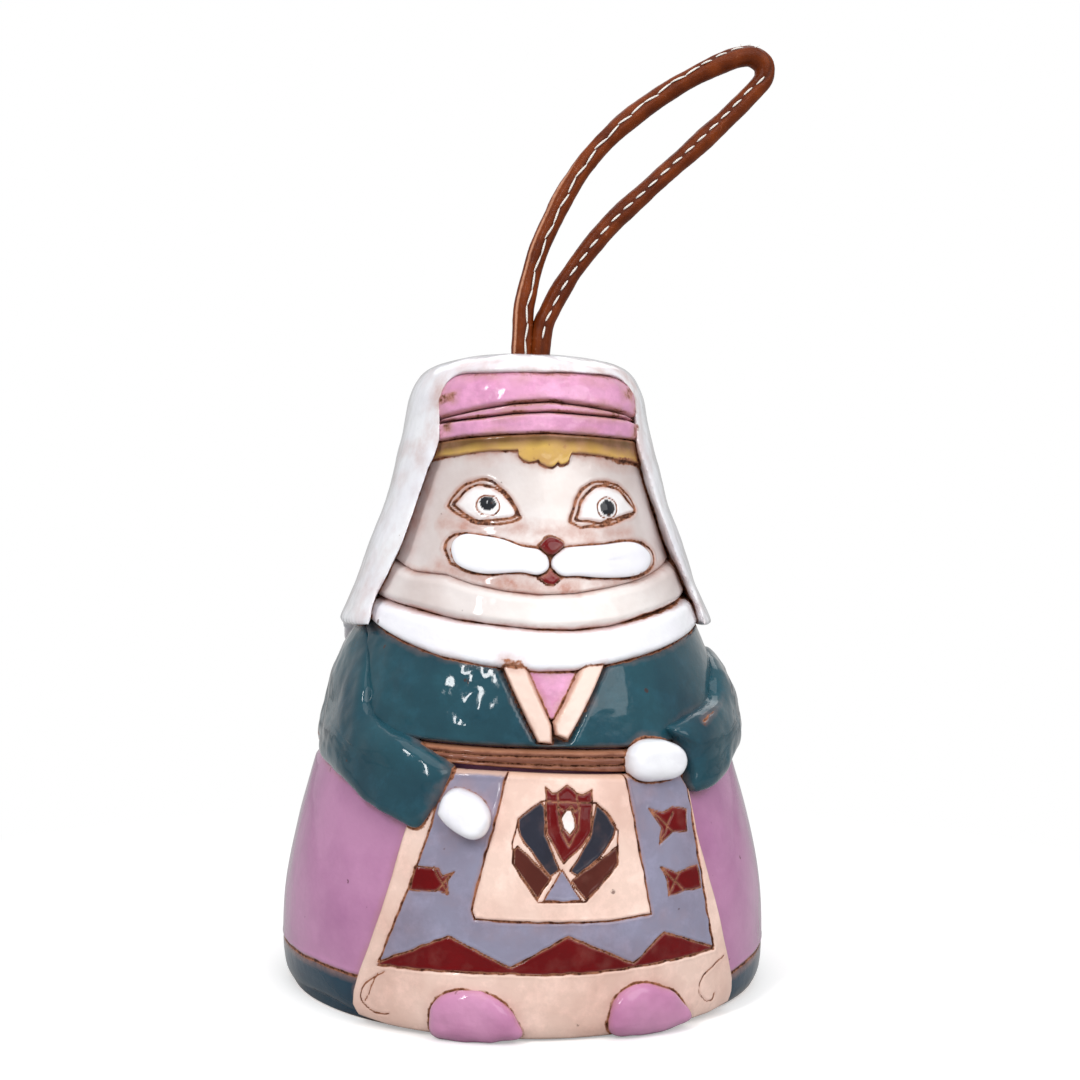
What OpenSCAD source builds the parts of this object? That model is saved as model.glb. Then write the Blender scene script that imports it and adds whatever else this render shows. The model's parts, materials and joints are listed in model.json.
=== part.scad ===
// Clay bell in the shape of a cat in folk dress.
// A hollow bell body carries the pieces of the dress, each pressed on by itself.
// A leather strap runs through the crown and is knotted inside, and a clay bead
// on a cord is the clapper. Left and right are as seen from the front, which is -Y.

/* [Bell body] */
// Radius of the standing rim
rim_r = 37.8; // [33:0.1:44]
// Largest radius of the skirt, just above the hem
skirt_r = 39.3; // [33:0.1:47.2]
// Radius of the skirt where it meets the belt
waist_r = 34; // [29:0.1:39]
// Radius of the jacket at the shoulders
shoulder_r = 28.2; // [25:0.1:33]
// Radius of the face at the brow
brow_r = 19.6; // [17:0.1:23]
// Height of the skirt
skirt_h = 36.3; // [30:0.1:44]
// Height from the belt to the shoulders
jacket_h = 16; // [13:0.1:19.5]
// Height from the shoulders to the brow
face_h = 27; // [22:0.1:33]
// Height from the brow to the top of the body under the veil
cap_h = 14.3; // [12:0.1:17]
// Wall of the bell body
wall_t = 3.8; // [3:0.1:4.6]
// Thickness of the crown
crown_t = 4; // [3:0.1:5]
// Radius of the hole through the crown
hole_r = 4.4; // [4:0.1:5]

/* [Dress] */
// Height of the belt
belt_h = 4.7; // [3.8:0.1:5.7]
// Thickness of the belt
belt_t = 2; // [1.5:0.1:2.4]
// Thickness of the jacket
jacket_t = 2.2; // [1.7:0.1:2.7]
// Thickness of the apron
apron_t = 1.2; // [0.9:0.1:1.5]
// Depth of the cells that are cut into the apron
cell_d = 0.5; // [0.3:0.05:0.7]
// Width of the apron at the hem
apron_hem_w = 58; // [48:0.5:64]
// Width of the apron at the belt
apron_top_w = 35.6; // [30:0.5:42]
// Thickness of the neck scarf
scarf_t = 3.2; // [2.7:0.1:3.8]
// Thickness of the chin roll
chin_t = 2.9; // [2.5:0.1:3.5]
// Height of the chin roll at the front
chin_h = 4.6; // [3.8:0.1:5.5]
// Height of the neck scarf at the front
scarf_h = 5.6; // [4.7:0.1:6.7]
// Thickness of the veil at the sides
veil_t = 4.1; // [3.4:0.1:4.9]
// Thickness of the veil on the crown
veil_top_t = 2.2; // [1.8:0.1:2.6]
// Width of the veil's opening at the cap
veil_gap_w = 30.8; // [28:0.2:33]
// Radius of the sleeve at the elbow
elbow_r = 7.5; // [6.3:0.1:9]
// Radius of the sleeve at the cuff
cuff_r = 5; // [4.2:0.1:6]
// Height of the shoes
shoe_h = 7; // [5.8:0.1:8.4]

/* [Head] */
// Thickness of the face
face_t = 2; // [1.6:0.1:2.4]
// Height of a muzzle pad
muzzle_h = 5.6; // [4.6:0.1:6.4]
// Height of the lower band of the cap
cap_low_h = 3.8; // [3.2:0.1:4.4]
// Height of the middle band of the cap
cap_mid_h = 1.7; // [1.4:0.1:2.1]
// Thickness of the cap's lower band
cap_t = 2.9; // [2.4:0.1:3.3]

/* [Strap and clapper] */
// Diameter of the leather strap
strap_d = 3.5; // [2.9:0.1:3.6]
// Diameter of the clapper cord
cord_d = 1.8; // [1.5:0.1:2.1]
// Diameter of the clapper bead
bead_d = 15; // [12:0.5:18]
// Length from the swing axis to the middle of the bead
swing_l = 54.6; // [46:0.1:56]

/* [Hidden] */
$fn = 128;

gap = 0.05;     // slip line between two clay pieces
run = 0.3;      // running gap between pieces that move
far = 60;       // reach of a cutting tool

z_waist = skirt_h;
z_bust = z_waist + belt_h;
z_shoulder = z_bust + jacket_h;
z_brow = z_shoulder + face_h;
z_crown = z_brow + cap_h;
z_top = z_crown + veil_top_t;
z_cap = z_brow + 2.4;                     // lower edge of the cap
z_cap_mid = z_cap + cap_low_h;
z_cap_up = z_cap_mid + cap_mid_h;
z_hair = z_brow - 1.2;                    // lower edge of the hair
z_vault = z_crown - crown_t;              // top of the hollow

strap_r = strap_d / 2;
cord_r = cord_d / 2;
bead_r = bead_d / 2;

// ---- curves ----

function mix(a, b, t) = a + (b - a) * t;
function knot_point(a, b, c, d, t) =
    0.5 * (2 * b + (c - a) * t + (2 * a - 5 * b + 4 * c - d) * t * t
    + (3 * b - a - 3 * c + d) * t * t * t);
// Smooth curve through the keys k, with n steps from key to key
function spline(k, n) = concat(
    [for (i = [0 : len(k) - 2], j = [0 : n - 1])
        knot_point(k[max(i - 1, 0)], k[i], k[i + 1], k[min(i + 2, len(k) - 1)], j / n)],
    [k[len(k) - 1]]);
function flip(p) = [for (i = [len(p) - 1 : -1 : 0]) p[i]];
function swap(p) = [for (q = p) [q[1], q[0]]];
function mirrored(p) = concat(p, [for (q = flip(p)) [-q[0], q[1]]]);
// Point at angle a from the front, radius r and height z
function at(a, r, z) = [r * sin(a), -r * cos(a), z];

// ---- outline of the shell, as [height, radius] ----

skirt_keys = [
    [0, rim_r],
    [0.07 * skirt_h, skirt_r - 0.3],
    [0.22 * skirt_h, skirt_r],
    [0.42 * skirt_h, mix(waist_r, skirt_r, 0.93)],
    [0.62 * skirt_h, mix(waist_r, skirt_r, 0.7)],
    [0.82 * skirt_h, mix(waist_r, skirt_r, 0.37)],
    [skirt_h, waist_r]
];
bust_r = waist_r - 2.8;
neck_r = shoulder_r - jacket_t;
skull_r = brow_r - face_t;
torso_keys = [
    [z_waist, waist_r - belt_t - 0.6],
    [z_bust, bust_r],
    [mix(z_bust, z_shoulder, 0.5), mix(bust_r, neck_r, 0.38)],
    [z_shoulder, neck_r],
    [mix(z_shoulder, z_brow, 0.2), mix(neck_r, skull_r, 0.25)],
    [mix(z_shoulder, z_brow, 0.4), mix(neck_r, skull_r, 0.49)],
    [mix(z_shoulder, z_brow, 0.6), mix(neck_r, skull_r, 0.71)],
    [mix(z_shoulder, z_brow, 0.8), mix(neck_r, skull_r, 0.89)],
    [z_brow, skull_r],
    [mix(z_brow, z_crown, 0.35), skull_r - 0.2],
    [mix(z_brow, z_crown, 0.65), skull_r - 0.7],
    [mix(z_brow, z_crown, 0.85), skull_r - 2],
    [mix(z_brow, z_crown, 0.96), skull_r - 4.5],
    [z_crown, skull_r - 7.5]
];
skirt_line = spline(skirt_keys, 3);
torso_line = spline(torso_keys, 3);
function shell_r(z) = z < z_waist ? lookup(z, skirt_line) : lookup(z, torso_line);

hollow_keys = [
    [0, rim_r - wall_t + 0.4],
    [0.2 * skirt_h, skirt_r - wall_t],
    [0.55 * skirt_h, mix(waist_r, skirt_r, 0.78) - wall_t],
    [0.9 * skirt_h, waist_r - wall_t - 0.6],
    [mix(z_waist, z_bust, 0.9), bust_r - wall_t],
    [z_shoulder, neck_r - wall_t],
    [mix(z_shoulder, z_brow, 0.5), mix(neck_r, skull_r, 0.6) - wall_t],
    [z_brow, skull_r - wall_t],
    [mix(z_brow, z_vault, 0.6), skull_r - wall_t - 1],
    [mix(z_brow, z_vault, 0.9), skull_r - wall_t - 4],
    [z_vault, skull_r - wall_t - 8]
];

// ---- building blocks ----

// Ring pressed on the shell from height a to b, t thick, with softened edges.
// A grow above 0 gives the tool that makes room for it in its neighbour, and n is
// the number of steps in its outer line.
module ring(a, b, t, grow = 0, soft = 0.35, n = 8) {
    line = concat(skirt_line, torso_line);
    inner = concat([[a - grow, shell_r(a)]],
        [for (p = line) if (p[0] > a + 0.01 && p[0] < b - 0.01) p],
        [[b + grow, shell_r(b)]]);
    outer = [for (i = [n : -1 : 0]) [
        mix(a - grow, b + grow, i / n),
        shell_r(mix(a, b, i / n)) + gap + t * (1 - soft * pow(abs(2 * i / n - 1), 6)) + grow]];
    rotate_extrude()
        polygon(concat([for (p = inner) [p[1] + gap - grow, p[0]]], swap(outer)));
}

// Everything that stands more than h above the shell, from height a to b
module above(a, b, h) {
    step = 1.6;
    levels = [a : step : b];
    line = [for (z = levels) [shell_r(z) + gap + h, z]];
    rotate_extrude()
        polygon(concat(line, [[far, line[len(line) - 1][1]], [far, a]]));
}

// Groove of width w and depth d round a piece of outer radius r, at height z
module groove(z, r, w, d) {
    rotate_extrude()
        translate([r - d, z - w / 2])
            square([far, w]);
}

// Prism in front of the bell with the outline p in width and height
module front(p) {
    rotate([90, 0, 0])
        linear_extrude(height = far)
            polygon(p);
}

// Everything below a plane that leans up towards the back by angle a
module below(z, r, a) {
    translate([0, -r, z])
        rotate([a, 0, 0])
            translate([-far, -far, -2 * far])
                cube(2 * far);
}

// Flattened ball chain: one smooth lump over two or more balls, each [angle, radius, height, size]
module lump(balls, grow = 0) {
    for (i = [0 : len(balls) - 2])
        hull()
            for (b = [balls[i], balls[i + 1]])
                translate(at(b[0], b[1], b[2]))
                    sphere(r = b[3] + grow, $fn = 20);
}

// ---- outlines in the front view, as [width, height] ----

veil_gap = mirrored(spline([
    [26.6, mix(z_bust, z_shoulder, 0.55)],
    [26.4, z_shoulder + 1],
    [25.4, mix(z_shoulder, z_brow, 0.18)],
    [21.4, mix(z_shoulder, z_brow, 0.48)],
    [17.4, mix(z_shoulder, z_brow, 0.92)],
    [veil_gap_w / 2 + 0.2, z_cap],
    [veil_gap_w / 2, z_crown - 5],
    [veil_gap_w / 2 - 2, z_crown - 1.9],
    [veil_gap_w / 2 - 5, z_crown - 1.4]
], 2));
function grown(p, g) = [for (q = p) [q[0] + sign(q[0]) * g, q[1]]];

apron_outline = mirrored([
    [apron_hem_w / 2 - 3.5, 0],
    [apron_hem_w / 2 - 0.8, 0.9],
    [apron_hem_w / 2, 3.2],
    [apron_top_w / 2 + 2.6, 0.8 * skirt_h],
    [apron_top_w / 2, skirt_h - gap]
]);

// Carved cells of the apron, in parts of its height u and its half width v
function on_apron(p) = [for (q = p) [
    q[0] * mix(apron_hem_w, apron_top_w, q[1]) / 2,
    q[1] * skirt_h]];
field_cell = on_apron([
    [-0.52, 0.965], [-0.56, 0.77], [-0.86, 0.725], [-0.955, 0.285],
    [-0.655, 0.425], [-0.295, 0.3], [0.03, 0.435], [0.39, 0.305],
    [0.63, 0.405], [0.93, 0.32], [0.975, 0.84], [0.99, 0.965],
    [0.62, 0.965], [0.55, 0.44], [-0.58, 0.455], [-0.45, 0.965]
]);
triangle_cells = [
    on_apron([[-0.92, 0.255], [-0.33, 0.272], [-0.65, 0.385]]),
    on_apron([[-0.25, 0.275], [0.34, 0.28], [0.03, 0.395]]),
    on_apron([[0.44, 0.285], [0.9, 0.29], [0.62, 0.365]])
];
emblem_w = 0.415 * apron_top_w;
emblem_h = 0.39 * skirt_h;
emblem_z = 0.72 * skirt_h;
tulip = [
    [-2.6, emblem_z + 0.62 * emblem_h],
    [0.6, emblem_z + 0.4 * emblem_h],
    [3.8, emblem_z + 0.62 * emblem_h],
    [4.2, emblem_z + 0.1 * emblem_h],
    [0.7, emblem_z - 0.16 * emblem_h],
    [-3, emblem_z + 0.1 * emblem_h]
];
// Eight-sided emblem of width w and height h
function emblem(w, h) = [for (q = [
    [-0.22, -0.5], [0.22, -0.5], [0.5, -0.2], [0.5, 0.16],
    [0.24, 0.5], [-0.2, 0.5], [-0.5, 0.16], [-0.5, -0.2]
]) [0.5 + q[0] * w, emblem_z + q[1] * h]];
// Square blossom with a forked end, s to a side
function blossom(x, z, s) = [
    [x - s / 2, z - s / 2 + 0.3], [x + s / 2, z - s / 2], [x + 0.28 * s, z],
    [x + s / 2, z + s / 2], [x - s / 2, z + s / 2 - 0.2]
];
motifs = [[-18.4, 0.605 * skirt_h, 4.3], [16.6, 0.8 * skirt_h, 4.6], [18, 0.575 * skirt_h, 4.8]];

neck_v = z_bust + 0.3;                   // lower tip of the neckline
neck_w = 8.3;                            // half width of the neckline at the scarf
strip_w = 2.6;                           // width of a neckline strip
lapel_left_outline = [
    [-neck_w - 1.3, z_shoulder],
    [-neck_w - 1.3 + strip_w, z_shoulder],
    [-0.1, neck_v + 2.6],
    [-0.1, neck_v],
    [-2, neck_v]
];
lapel_right_outline = [
    [neck_w + 1.6, z_shoulder],
    [neck_w + 1.6 - strip_w - 0.6, z_shoulder],
    [0, neck_v + 2.6],
    [0, neck_v],
    [1.4, neck_v]
];
neckline = [
    [-neck_w - 1.3, z_shoulder],
    [neck_w + 1.6, z_shoulder],
    [1.4, neck_v],
    [-2, neck_v]
];

hair_outline = [
    [-18, z_cap + 1],
    [18, z_cap + 1],
    [18, z_hair - 0.5],
    [9, z_hair + 0.6],
    [4.2, z_hair + 0.3],
    [3.8, z_hair - 0.9],
    [2.2, z_hair - 0.6],
    [1.4, z_hair - 1.3],
    [-0.2, z_hair - 0.7],
    [-1.8, z_hair - 1.2],
    [-4.4, z_hair + 0.4],
    [-9, z_hair + 0.8],
    [-18, z_hair + 0.2]
];

// ---- planes of the collar, as [height at the front, radius there, lean] ----

scarf_low = [z_shoulder - 4.9, 30.4, 15];
chin_low = [z_shoulder - 4.9 + scarf_h, 28.5, 10.3];
chin_up = [z_shoulder - 4.9 + scarf_h + chin_h, 26.4, 18];

// ---- clay pieces ----

module bell_shell() {
    color([0.71, 0.48, 0.62])
        difference() {
            rotate_extrude()
                polygon(concat([[0, 0]], swap(skirt_line), swap(torso_line), [[0, z_crown]]));
            rotate_extrude()
                polygon(concat([[0, -1], [hollow_keys[0][1], -1]],
                    swap(spline(hollow_keys, 2)), [[0, z_vault]]));
            cylinder(r = hole_r, h = z_crown + 1);
        }
}

module apron_form(grow = 0) {
    intersection() {
        ring(0, z_waist - gap, apron_t, grow, 0, 24);
        front(grown(apron_outline, grow));
    }
}

// The embroidery: glaze cells cut into the apron, with narrow walls of clay between them
module apron_cells() {
    difference() {
        front(field_cell);
        for (m = motifs)
            front(blossom(m[0], m[1], m[2]));
    }
    for (t = triangle_cells)
        front(t);
    difference() {
        front(emblem(emblem_w, emblem_h));
        front(tulip);
    }
}

module apron() {
    color([0.96, 0.86, 0.8])
        difference() {
            apron_form();
            intersection() {
                above(0.2 * skirt_h, skirt_h - 0.5, apron_t - cell_d);
                apron_cells();
            }
        }
}

module belt_form(grow = 0) {
    ring(z_waist + gap, z_bust - gap, belt_t, grow);
}

module belt() {
    color([0.5, 0.27, 0.21])
        difference() {
            belt_form();
            for (t = [0.36, 0.68])
                groove(mix(z_waist, z_bust, t), bust_r + belt_t + gap, 0.45, 0.3);
        }
}

module jacket_form(grow = 0) {
    intersection() {
        ring(z_bust + gap, z_shoulder, jacket_t, grow, 0.2);
        below(scarf_low[0] - gap + grow, scarf_low[1], scarf_low[2]);
    }
}

module jacket() {
    color([0.12, 0.27, 0.35])
        difference() {
            jacket_form();
            front(grown(neckline, gap));
        }
}

module strip(outline) {
    intersection() {
        ring(z_bust + gap, z_shoulder, jacket_t + 0.6, 0, 0.1);
        below(scarf_low[0] - gap, scarf_low[1], scarf_low[2]);
        front(outline);
    }
}

module lapel_left() {
    color([0.96, 0.86, 0.8])
        strip(lapel_left_outline);
}

module lapel_right() {
    color([0.96, 0.86, 0.8])
        strip([for (q = lapel_right_outline) [q[0] + gap, q[1]]]);
}

module shirt_front() {
    color([0.9, 0.65, 0.79])
        difference() {
            intersection() {
                ring(z_bust + gap, z_shoulder, jacket_t - 0.7, 0, 0);
                below(scarf_low[0] - gap, scarf_low[1], scarf_low[2]);
                front(neckline);
            }
            for (side = [-gap, gap])
                translate([side, 0, 0]) {
                    front(lapel_left_outline);
                    front([for (q = lapel_right_outline) [q[0] + gap, q[1]]]);
                }
        }
}

module collar_window(grow = 0) {
    front(grown(veil_gap, grow - gap));
}

module neck_scarf() {
    color([1, 1, 0.99])
        difference() {
            intersection() {
                ring(z_shoulder - 8, z_shoulder + 8, scarf_t, 0, 0);
                below(chin_low[0] - gap, chin_low[1], chin_low[2]);
                collar_window();
            }
            below(scarf_low[0] + gap, scarf_low[1], scarf_low[2]);
        }
}

module chin_roll() {
    color([0.98, 0.98, 0.96])
        difference() {
            intersection() {
                ring(z_shoulder - 6, z_shoulder + 14, chin_t, 0, 0);
                below(chin_up[0] - gap, chin_up[1], chin_up[2]);
                collar_window();
            }
            below(chin_low[0] + gap, chin_low[1], chin_low[2]);
        }
}

module face_form(grow = 0) {
    difference() {
        intersection() {
            ring(z_shoulder, z_brow + 2, face_t, grow, 0);
            collar_window(grow);
        }
        below(chin_up[0] + gap - grow, chin_up[1], chin_up[2]);
        translate([0, 0, -grow])
            front(hair_outline);
    }
}

// Outline of an eye with its middle at x, a wide and b high at the front
z_eye = mix(z_shoulder, z_brow, 0.71);
function eye(x, a, b) = spline([
    [x - a, z_eye], [x - 0.55 * a, z_eye + 0.72 * b], [x, z_eye + b], [x + 0.6 * a, z_eye + 0.7 * b],
    [x + a, z_eye], [x + 0.5 * a, z_eye - 0.75 * b], [x, z_eye - 0.85 * b],
    [x - 0.5 * a, z_eye - 0.75 * b], [x - a, z_eye]
], 3);

module face() {
    color([0.97, 0.94, 0.9])
        difference() {
            face_form();
            intersection() {
                above(z_shoulder + 8, z_brow, face_t - 0.35);
                for (x = [-8.8, 9.2])
                    front(eye(x, 5.1, 3.1));
            }
        }
}

muzzle_r = muzzle_h / 2;
z_nose = mix(z_shoulder, z_brow, 0.48);
z_muzzle = z_nose - 1.6;
function face_r(z) = shell_r(z) + gap + face_t;
muzzle_set = face_r(z_muzzle) - muzzle_r + 1.3;

// Everything behind the face's surface
module behind_face() {
    rotate_extrude()
        polygon(concat([[0, z_shoulder]],
            [for (p = torso_line) if (p[0] >= z_shoulder && p[0] <= z_crown) [face_r(p[0]) + gap, p[0]]],
            [[0, z_crown]]));
}

module pad(a_in, a_out, lift) {
    difference() {
        lump([
            [a_in, muzzle_set + 0.3, z_muzzle, muzzle_r - 0.7],
            [mix(a_in, a_out, 0.5), muzzle_set, z_muzzle + lift / 2, muzzle_r],
            [a_out, muzzle_set, z_muzzle + lift, muzzle_r - 0.1]
        ]);
        behind_face();
        nose_form(gap);
    }
}

module muzzle_left() {
    color("white")
        pad(-6.2, -33, 0.6);
}

module muzzle_right() {
    color("white")
        pad(7.2, 40, 0.2);
}

module nose_form(grow = 0) {
    translate(at(1, face_r(z_nose) + 0.2, z_nose))
        rotate([90, 0, 1])
            scale([1.4, 1, 1])
                cylinder(r1 = 1.3 + grow, r2 = 0.5 + grow, h = 1.4 + grow, $fn = 4);
}

module nose() {
    color([0.42, 0.03, 0.04])
        difference() {
            nose_form();
            behind_face();
        }
}

module hair_fringe() {
    color([0.78, 0.64, 0.38])
        intersection() {
            ring(z_hair - 3, z_cap - gap, face_t + 0.35, 0, 0.1);
            front(hair_outline);
            collar_window();
        }
}

module cap_roll(a, b, t, soft) {
    intersection() {
        ring(a + gap, b - gap, t, 0, soft);
        collar_window();
    }
}

module cap_lower_band() {
    color([0.9, 0.7, 0.8])
        cap_roll(z_cap, z_cap_mid, cap_t, 0.25);
}

module cap_middle_band() {
    color([0.88, 0.68, 0.8])
        cap_roll(z_cap_mid, z_cap_up, cap_t - 0.9, 0.2);
}

module cap_upper_band() {
    color([0.93, 0.73, 0.84])
        cap_roll(z_cap_up, z_crown - 1.2, cap_t - 0.5, 0.2);
}

// Side view of what the veil leaves free below its hem, from the front to the back
veil_hem = [
    [-far, -1],
    [-far, z_shoulder + 0.3],
    [3, z_shoulder + 0.3],
    [8, z_shoulder - 1],
    [20, z_bust + 7],
    [26, z_bust + 5.5],
    [far, z_bust + 5.5],
    [far, -1]
];

module veil() {
    hang = jacket_t + gap;
    low = [for (p = torso_line) if (p[0] > z_bust + 3 && p[0] < z_shoulder - 0.01) p];
    high = [for (p = torso_line) if (p[0] > z_shoulder + 0.01) p];
    inner = concat(
        [[z_bust + 3, shell_r(z_bust + 3) + hang]],
        [for (p = low) [p[0], p[1] + hang]],
        [[z_shoulder + gap, neck_r + hang], [z_shoulder + gap, neck_r]],
        high);
    outer = spline([
        [z_bust + 3, shell_r(z_bust + 3) + hang + 2.2],
        [mix(z_bust, z_shoulder, 0.6), shell_r(mix(z_bust, z_shoulder, 0.6)) + hang + 2],
        [z_shoulder + 1.4, neck_r + veil_t + 0.5],
        [mix(z_shoulder, z_brow, 0.25), mix(neck_r, skull_r, 0.31) + veil_t + 0.6],
        [mix(z_shoulder, z_brow, 0.5), mix(neck_r, skull_r, 0.6) + veil_t + 0.9],
        [mix(z_shoulder, z_brow, 0.75), mix(neck_r, skull_r, 0.85) + veil_t + 0.5],
        [z_brow, skull_r + veil_t],
        [mix(z_brow, z_crown, 0.4), skull_r + veil_t - 1.3],
        [mix(z_brow, z_crown, 0.7), skull_r + veil_t - 2.1],
        [z_crown - 0.8, skull_r + 0.4],
        [z_crown + 0.9, skull_r - 1.8],
        [z_crown + 1.9, skull_r - 5],
        [z_top, skull_r - 9],
        [z_top, hole_r]
    ], 2);
    color([0.98, 0.98, 1])
        difference() {
            rotate_extrude()
                polygon(concat(
                    [for (p = inner) [p[1] + gap, p[0]]],
                    [[skull_r - 7.5, z_crown + gap], [hole_r, z_crown + gap]],
                    swap(flip(outer))));
            front(veil_gap);
            translate([-far, 0, 0])
                rotate([90, 0, 90])
                    linear_extrude(height = 2 * far)
                        polygon(veil_hem);
        }
}

// ---- arms and feet, each ball as [angle, radius, height, size] ----

// Ball at angle a and height z, with its middle at h above the shell
function ball(a, z, h, size) = [a, shell_r(z) + h, z, size];
arm_left = [
    ball(-86, z_shoulder - 10, -2.6, elbow_r - 1.3),
    ball(-69, z_bust - 1.5, -3.4, elbow_r),
    ball(-48, z_waist - 0.5, -2.7, mix(elbow_r, cuff_r, 0.45)),
    ball(-32, z_waist - 3, -0.9, cuff_r)
];
arm_right = [
    ball(86, z_shoulder - 9.5, -1.9, elbow_r - 0.9),
    ball(66, z_bust - 1.5, -2.4, elbow_r),
    ball(50, z_waist + 1.1, 0.2, mix(elbow_r, cuff_r, 0.55)),
    ball(38.5, z_waist + 0.9, 1.8, cuff_r - 0.1)
];

// What lies under the arms and hands
module worn(grow) {
    rotate_extrude()
        polygon(concat([[0, -1], [skirt_line[0][1] + grow, -1]],
            [for (p = concat(skirt_line, torso_line)) [p[1] + grow, p[0]]], [[0, z_crown]]));
    belt_form(grow);
    jacket_form(grow);
    apron_form(grow);
}

module sleeve(balls, grow = 0) {
    difference() {
        lump(balls, grow);
        worn(gap - grow / 2);
    }
}

module sleeve_left() {
    color([0.13, 0.28, 0.35])
        sleeve(arm_left);
}

module sleeve_right() {
    color([0.13, 0.28, 0.35])
        sleeve(arm_right);
}

module hand(balls, arm) {
    color([0.99, 0.99, 1])
        difference() {
            lump(balls);
            worn(gap);
            lump(arm, gap);
        }
}

module hand_left() {
    hand([
        ball(-26.5, z_waist - 3, 1.4, 3.6),
        ball(-21.3, z_waist - 5.4, 1.3, 3.6)
    ], arm_left);
}

module hand_right() {
    hand([
        ball(28.5, z_waist + 2.2, 3.8, 3),
        ball(23, z_waist + 2.4, 3.9, 2.9)
    ], arm_right);
}

module shoe(a, w) {
    toe_r = 3.1;
    color([0.77, 0.52, 0.65])
        difference() {
            hull() {
                for (s = [-1, 1])
                    translate(at(a + s * w, skirt_r + apron_t - 1.9, 1.6))
                        sphere(r = toe_r, $fn = 24);
                translate(at(a, skirt_r + apron_t - 2.2, shoe_h - 2.3))
                    sphere(r = toe_r, $fn = 24);
            }
            worn(gap);
            translate([-far, -far, -far])
                cube([2 * far, 2 * far, far]);
        }
}

module shoe_left() {
    shoe(-19.3, 4.8);
}

module shoe_right() {
    shoe(19.3, 5.4);
}

// ---- strap ----

z_bend = z_top + 1.5;            // where the strap bends in the mouth of the hole
bend_r = 3.4;
strand_x = strap_r + 0.15;       // half the spacing of the two strands
z_knot = z_vault - gap;
knot_turn = strap_d * 0.92;      // rise of one turn of the knot
knot_r = strap_r + 2.2;          // middle radius of a turn
z_knot_low = z_knot - strap_d - 2 * knot_turn;

module strap_knot() {
    color([0.45, 0.22, 0.11])
        union() {
            for (i = [0 : 2])
                translate([0, 0, z_knot - strap_r - i * knot_turn])
                    rotate_extrude()
                        translate([knot_r, 0])
                            circle(r = strap_r);
            translate([0, 0, z_knot_low])
                cylinder(r = knot_r - 0.2, h = z_knot - z_knot_low - 0.4);
            for (s = [-1, 1])
                translate([s * strand_x, 0, z_knot - 2])
                    cylinder(r = strap_r, h = z_bend - bend_r - run - z_knot + 2);
        }
}

module strap_bend() {
    color([0.45, 0.22, 0.11])
        translate([0, 0, z_bend])
            sphere(r = bend_r);
}

loop_route = [
    [-1.3, 0, 4],
    [-1.3, 0, 7.5],
    [-0.6, 0, 12],
    [0.6, 0, 17],
    [2.6, 0, 21.6],
    [5.4, 0, 27],
    [9.4, 0, 32.5],
    [14.4, 0, 37.7],
    [19.6, 0, 42],
    [25.4, 0, 46],
    [31, 0, 49.2],
    [35, 0, 51],
    [38, 0, 51.6],
    [40.2, 0, 50.3],
    [40.3, 0, 48],
    [38.6, 0, 45.8],
    [35.2, 0, 42],
    [31.6, 0, 38.3],
    [27.9, 0, 34.6],
    [24, 0, 30.9],
    [20, 0, 27],
    [16, 0, 23.2],
    [12.5, 0, 19.2],
    [9.3, 0, 15],
    [6.6, 0, 11],
    [4.4, 0, 7.2],
    [2.9, 0, 4]
];

function unit(v) = v / norm(v);
function heading(p, i) = unit(p[min(i + 1, len(p) - 1)] - p[max(i - 1, 0)]);
// Ring of n points round point i of the route p, which lies in the XZ plane
function hoop(p, i, r, n) = let (h = heading(p, i), side = [h[2], 0, -h[0]])
    [for (j = [0 : n - 1]) p[i] + r * (cos(360 * j / n) * side + sin(360 * j / n) * [0, 1, 0])];

module tube(p, r, n) {
    m = len(p);
    polyhedron(
        points = [for (i = [0 : m - 1]) each hoop(p, i, r, n)],
        faces = concat(
            [[for (j = [0 : n - 1]) j]],
            [for (i = [0 : m - 2], j = [0 : n - 1])
                [i * n + j, (i + 1) * n + j, (i + 1) * n + (j + 1) % n, i * n + (j + 1) % n]],
            [[for (j = [n - 1 : -1 : 0]) (m - 1) * n + j]]));
}

module hanging_loop() {
    color([0.45, 0.22, 0.11])
        translate([0, 0, z_bend])
            tube(spline(loop_route, 2), strap_r, 8);
}

// ---- clapper ----

eye_r = cord_d + run;                     // middle radius of the cord's eye round the eyelet
eyelet_r = 2.6;                           // middle radius of the eyelet
collar_h = 1.4;
z_collar = z_knot_low - run - collar_h;
z_swing = z_collar - 2 * eyelet_r;
z_bead = z_swing - swing_l;
knot_d = 2 * cord_d;

module clapper_eyelet() {
    color([0.35, 0.22, 0.15])
        union() {
            translate([0, 0, z_collar])
                cylinder(r = 2.6, h = collar_h);
            translate([0, 0, z_swing + eyelet_r])
                rotate([90, 0, 0])
                    rotate_extrude()
                        translate([eyelet_r, 0])
                            circle(r = cord_r);
        }
}

module clapper_cord() {
    color([0.35, 0.22, 0.15])
        union() {
            translate([0, 0, z_swing])
                rotate([0, 90, 0])
                    rotate_extrude()
                        translate([eye_r, 0])
                            circle(r = cord_r);
            translate([0, 0, z_bead - bead_r - 5])
                cylinder(r = cord_r, h = swing_l + bead_r + 5 - eye_r);
        }
}

module clapper_bead() {
    color([0.12, 0.27, 0.35])
        translate([0, 0, z_bead])
            difference() {
                sphere(r = bead_r);
                cylinder(r = cord_r + run, h = 3 * bead_r, center = true);
            }
}

module cord_knot(z) {
    color([0.35, 0.22, 0.15])
        translate([0, 0, z])
            difference() {
                sphere(r = knot_d / 2);
                cylinder(r = cord_r + 0.02, h = 3 * knot_d, center = true);
            }
}

module bead_knot_upper() {
    cord_knot(z_bead + bead_r + run + knot_d / 2);
}

module bead_knot_lower() {
    cord_knot(z_bead - bead_r - run - knot_d / 2);
}

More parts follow.
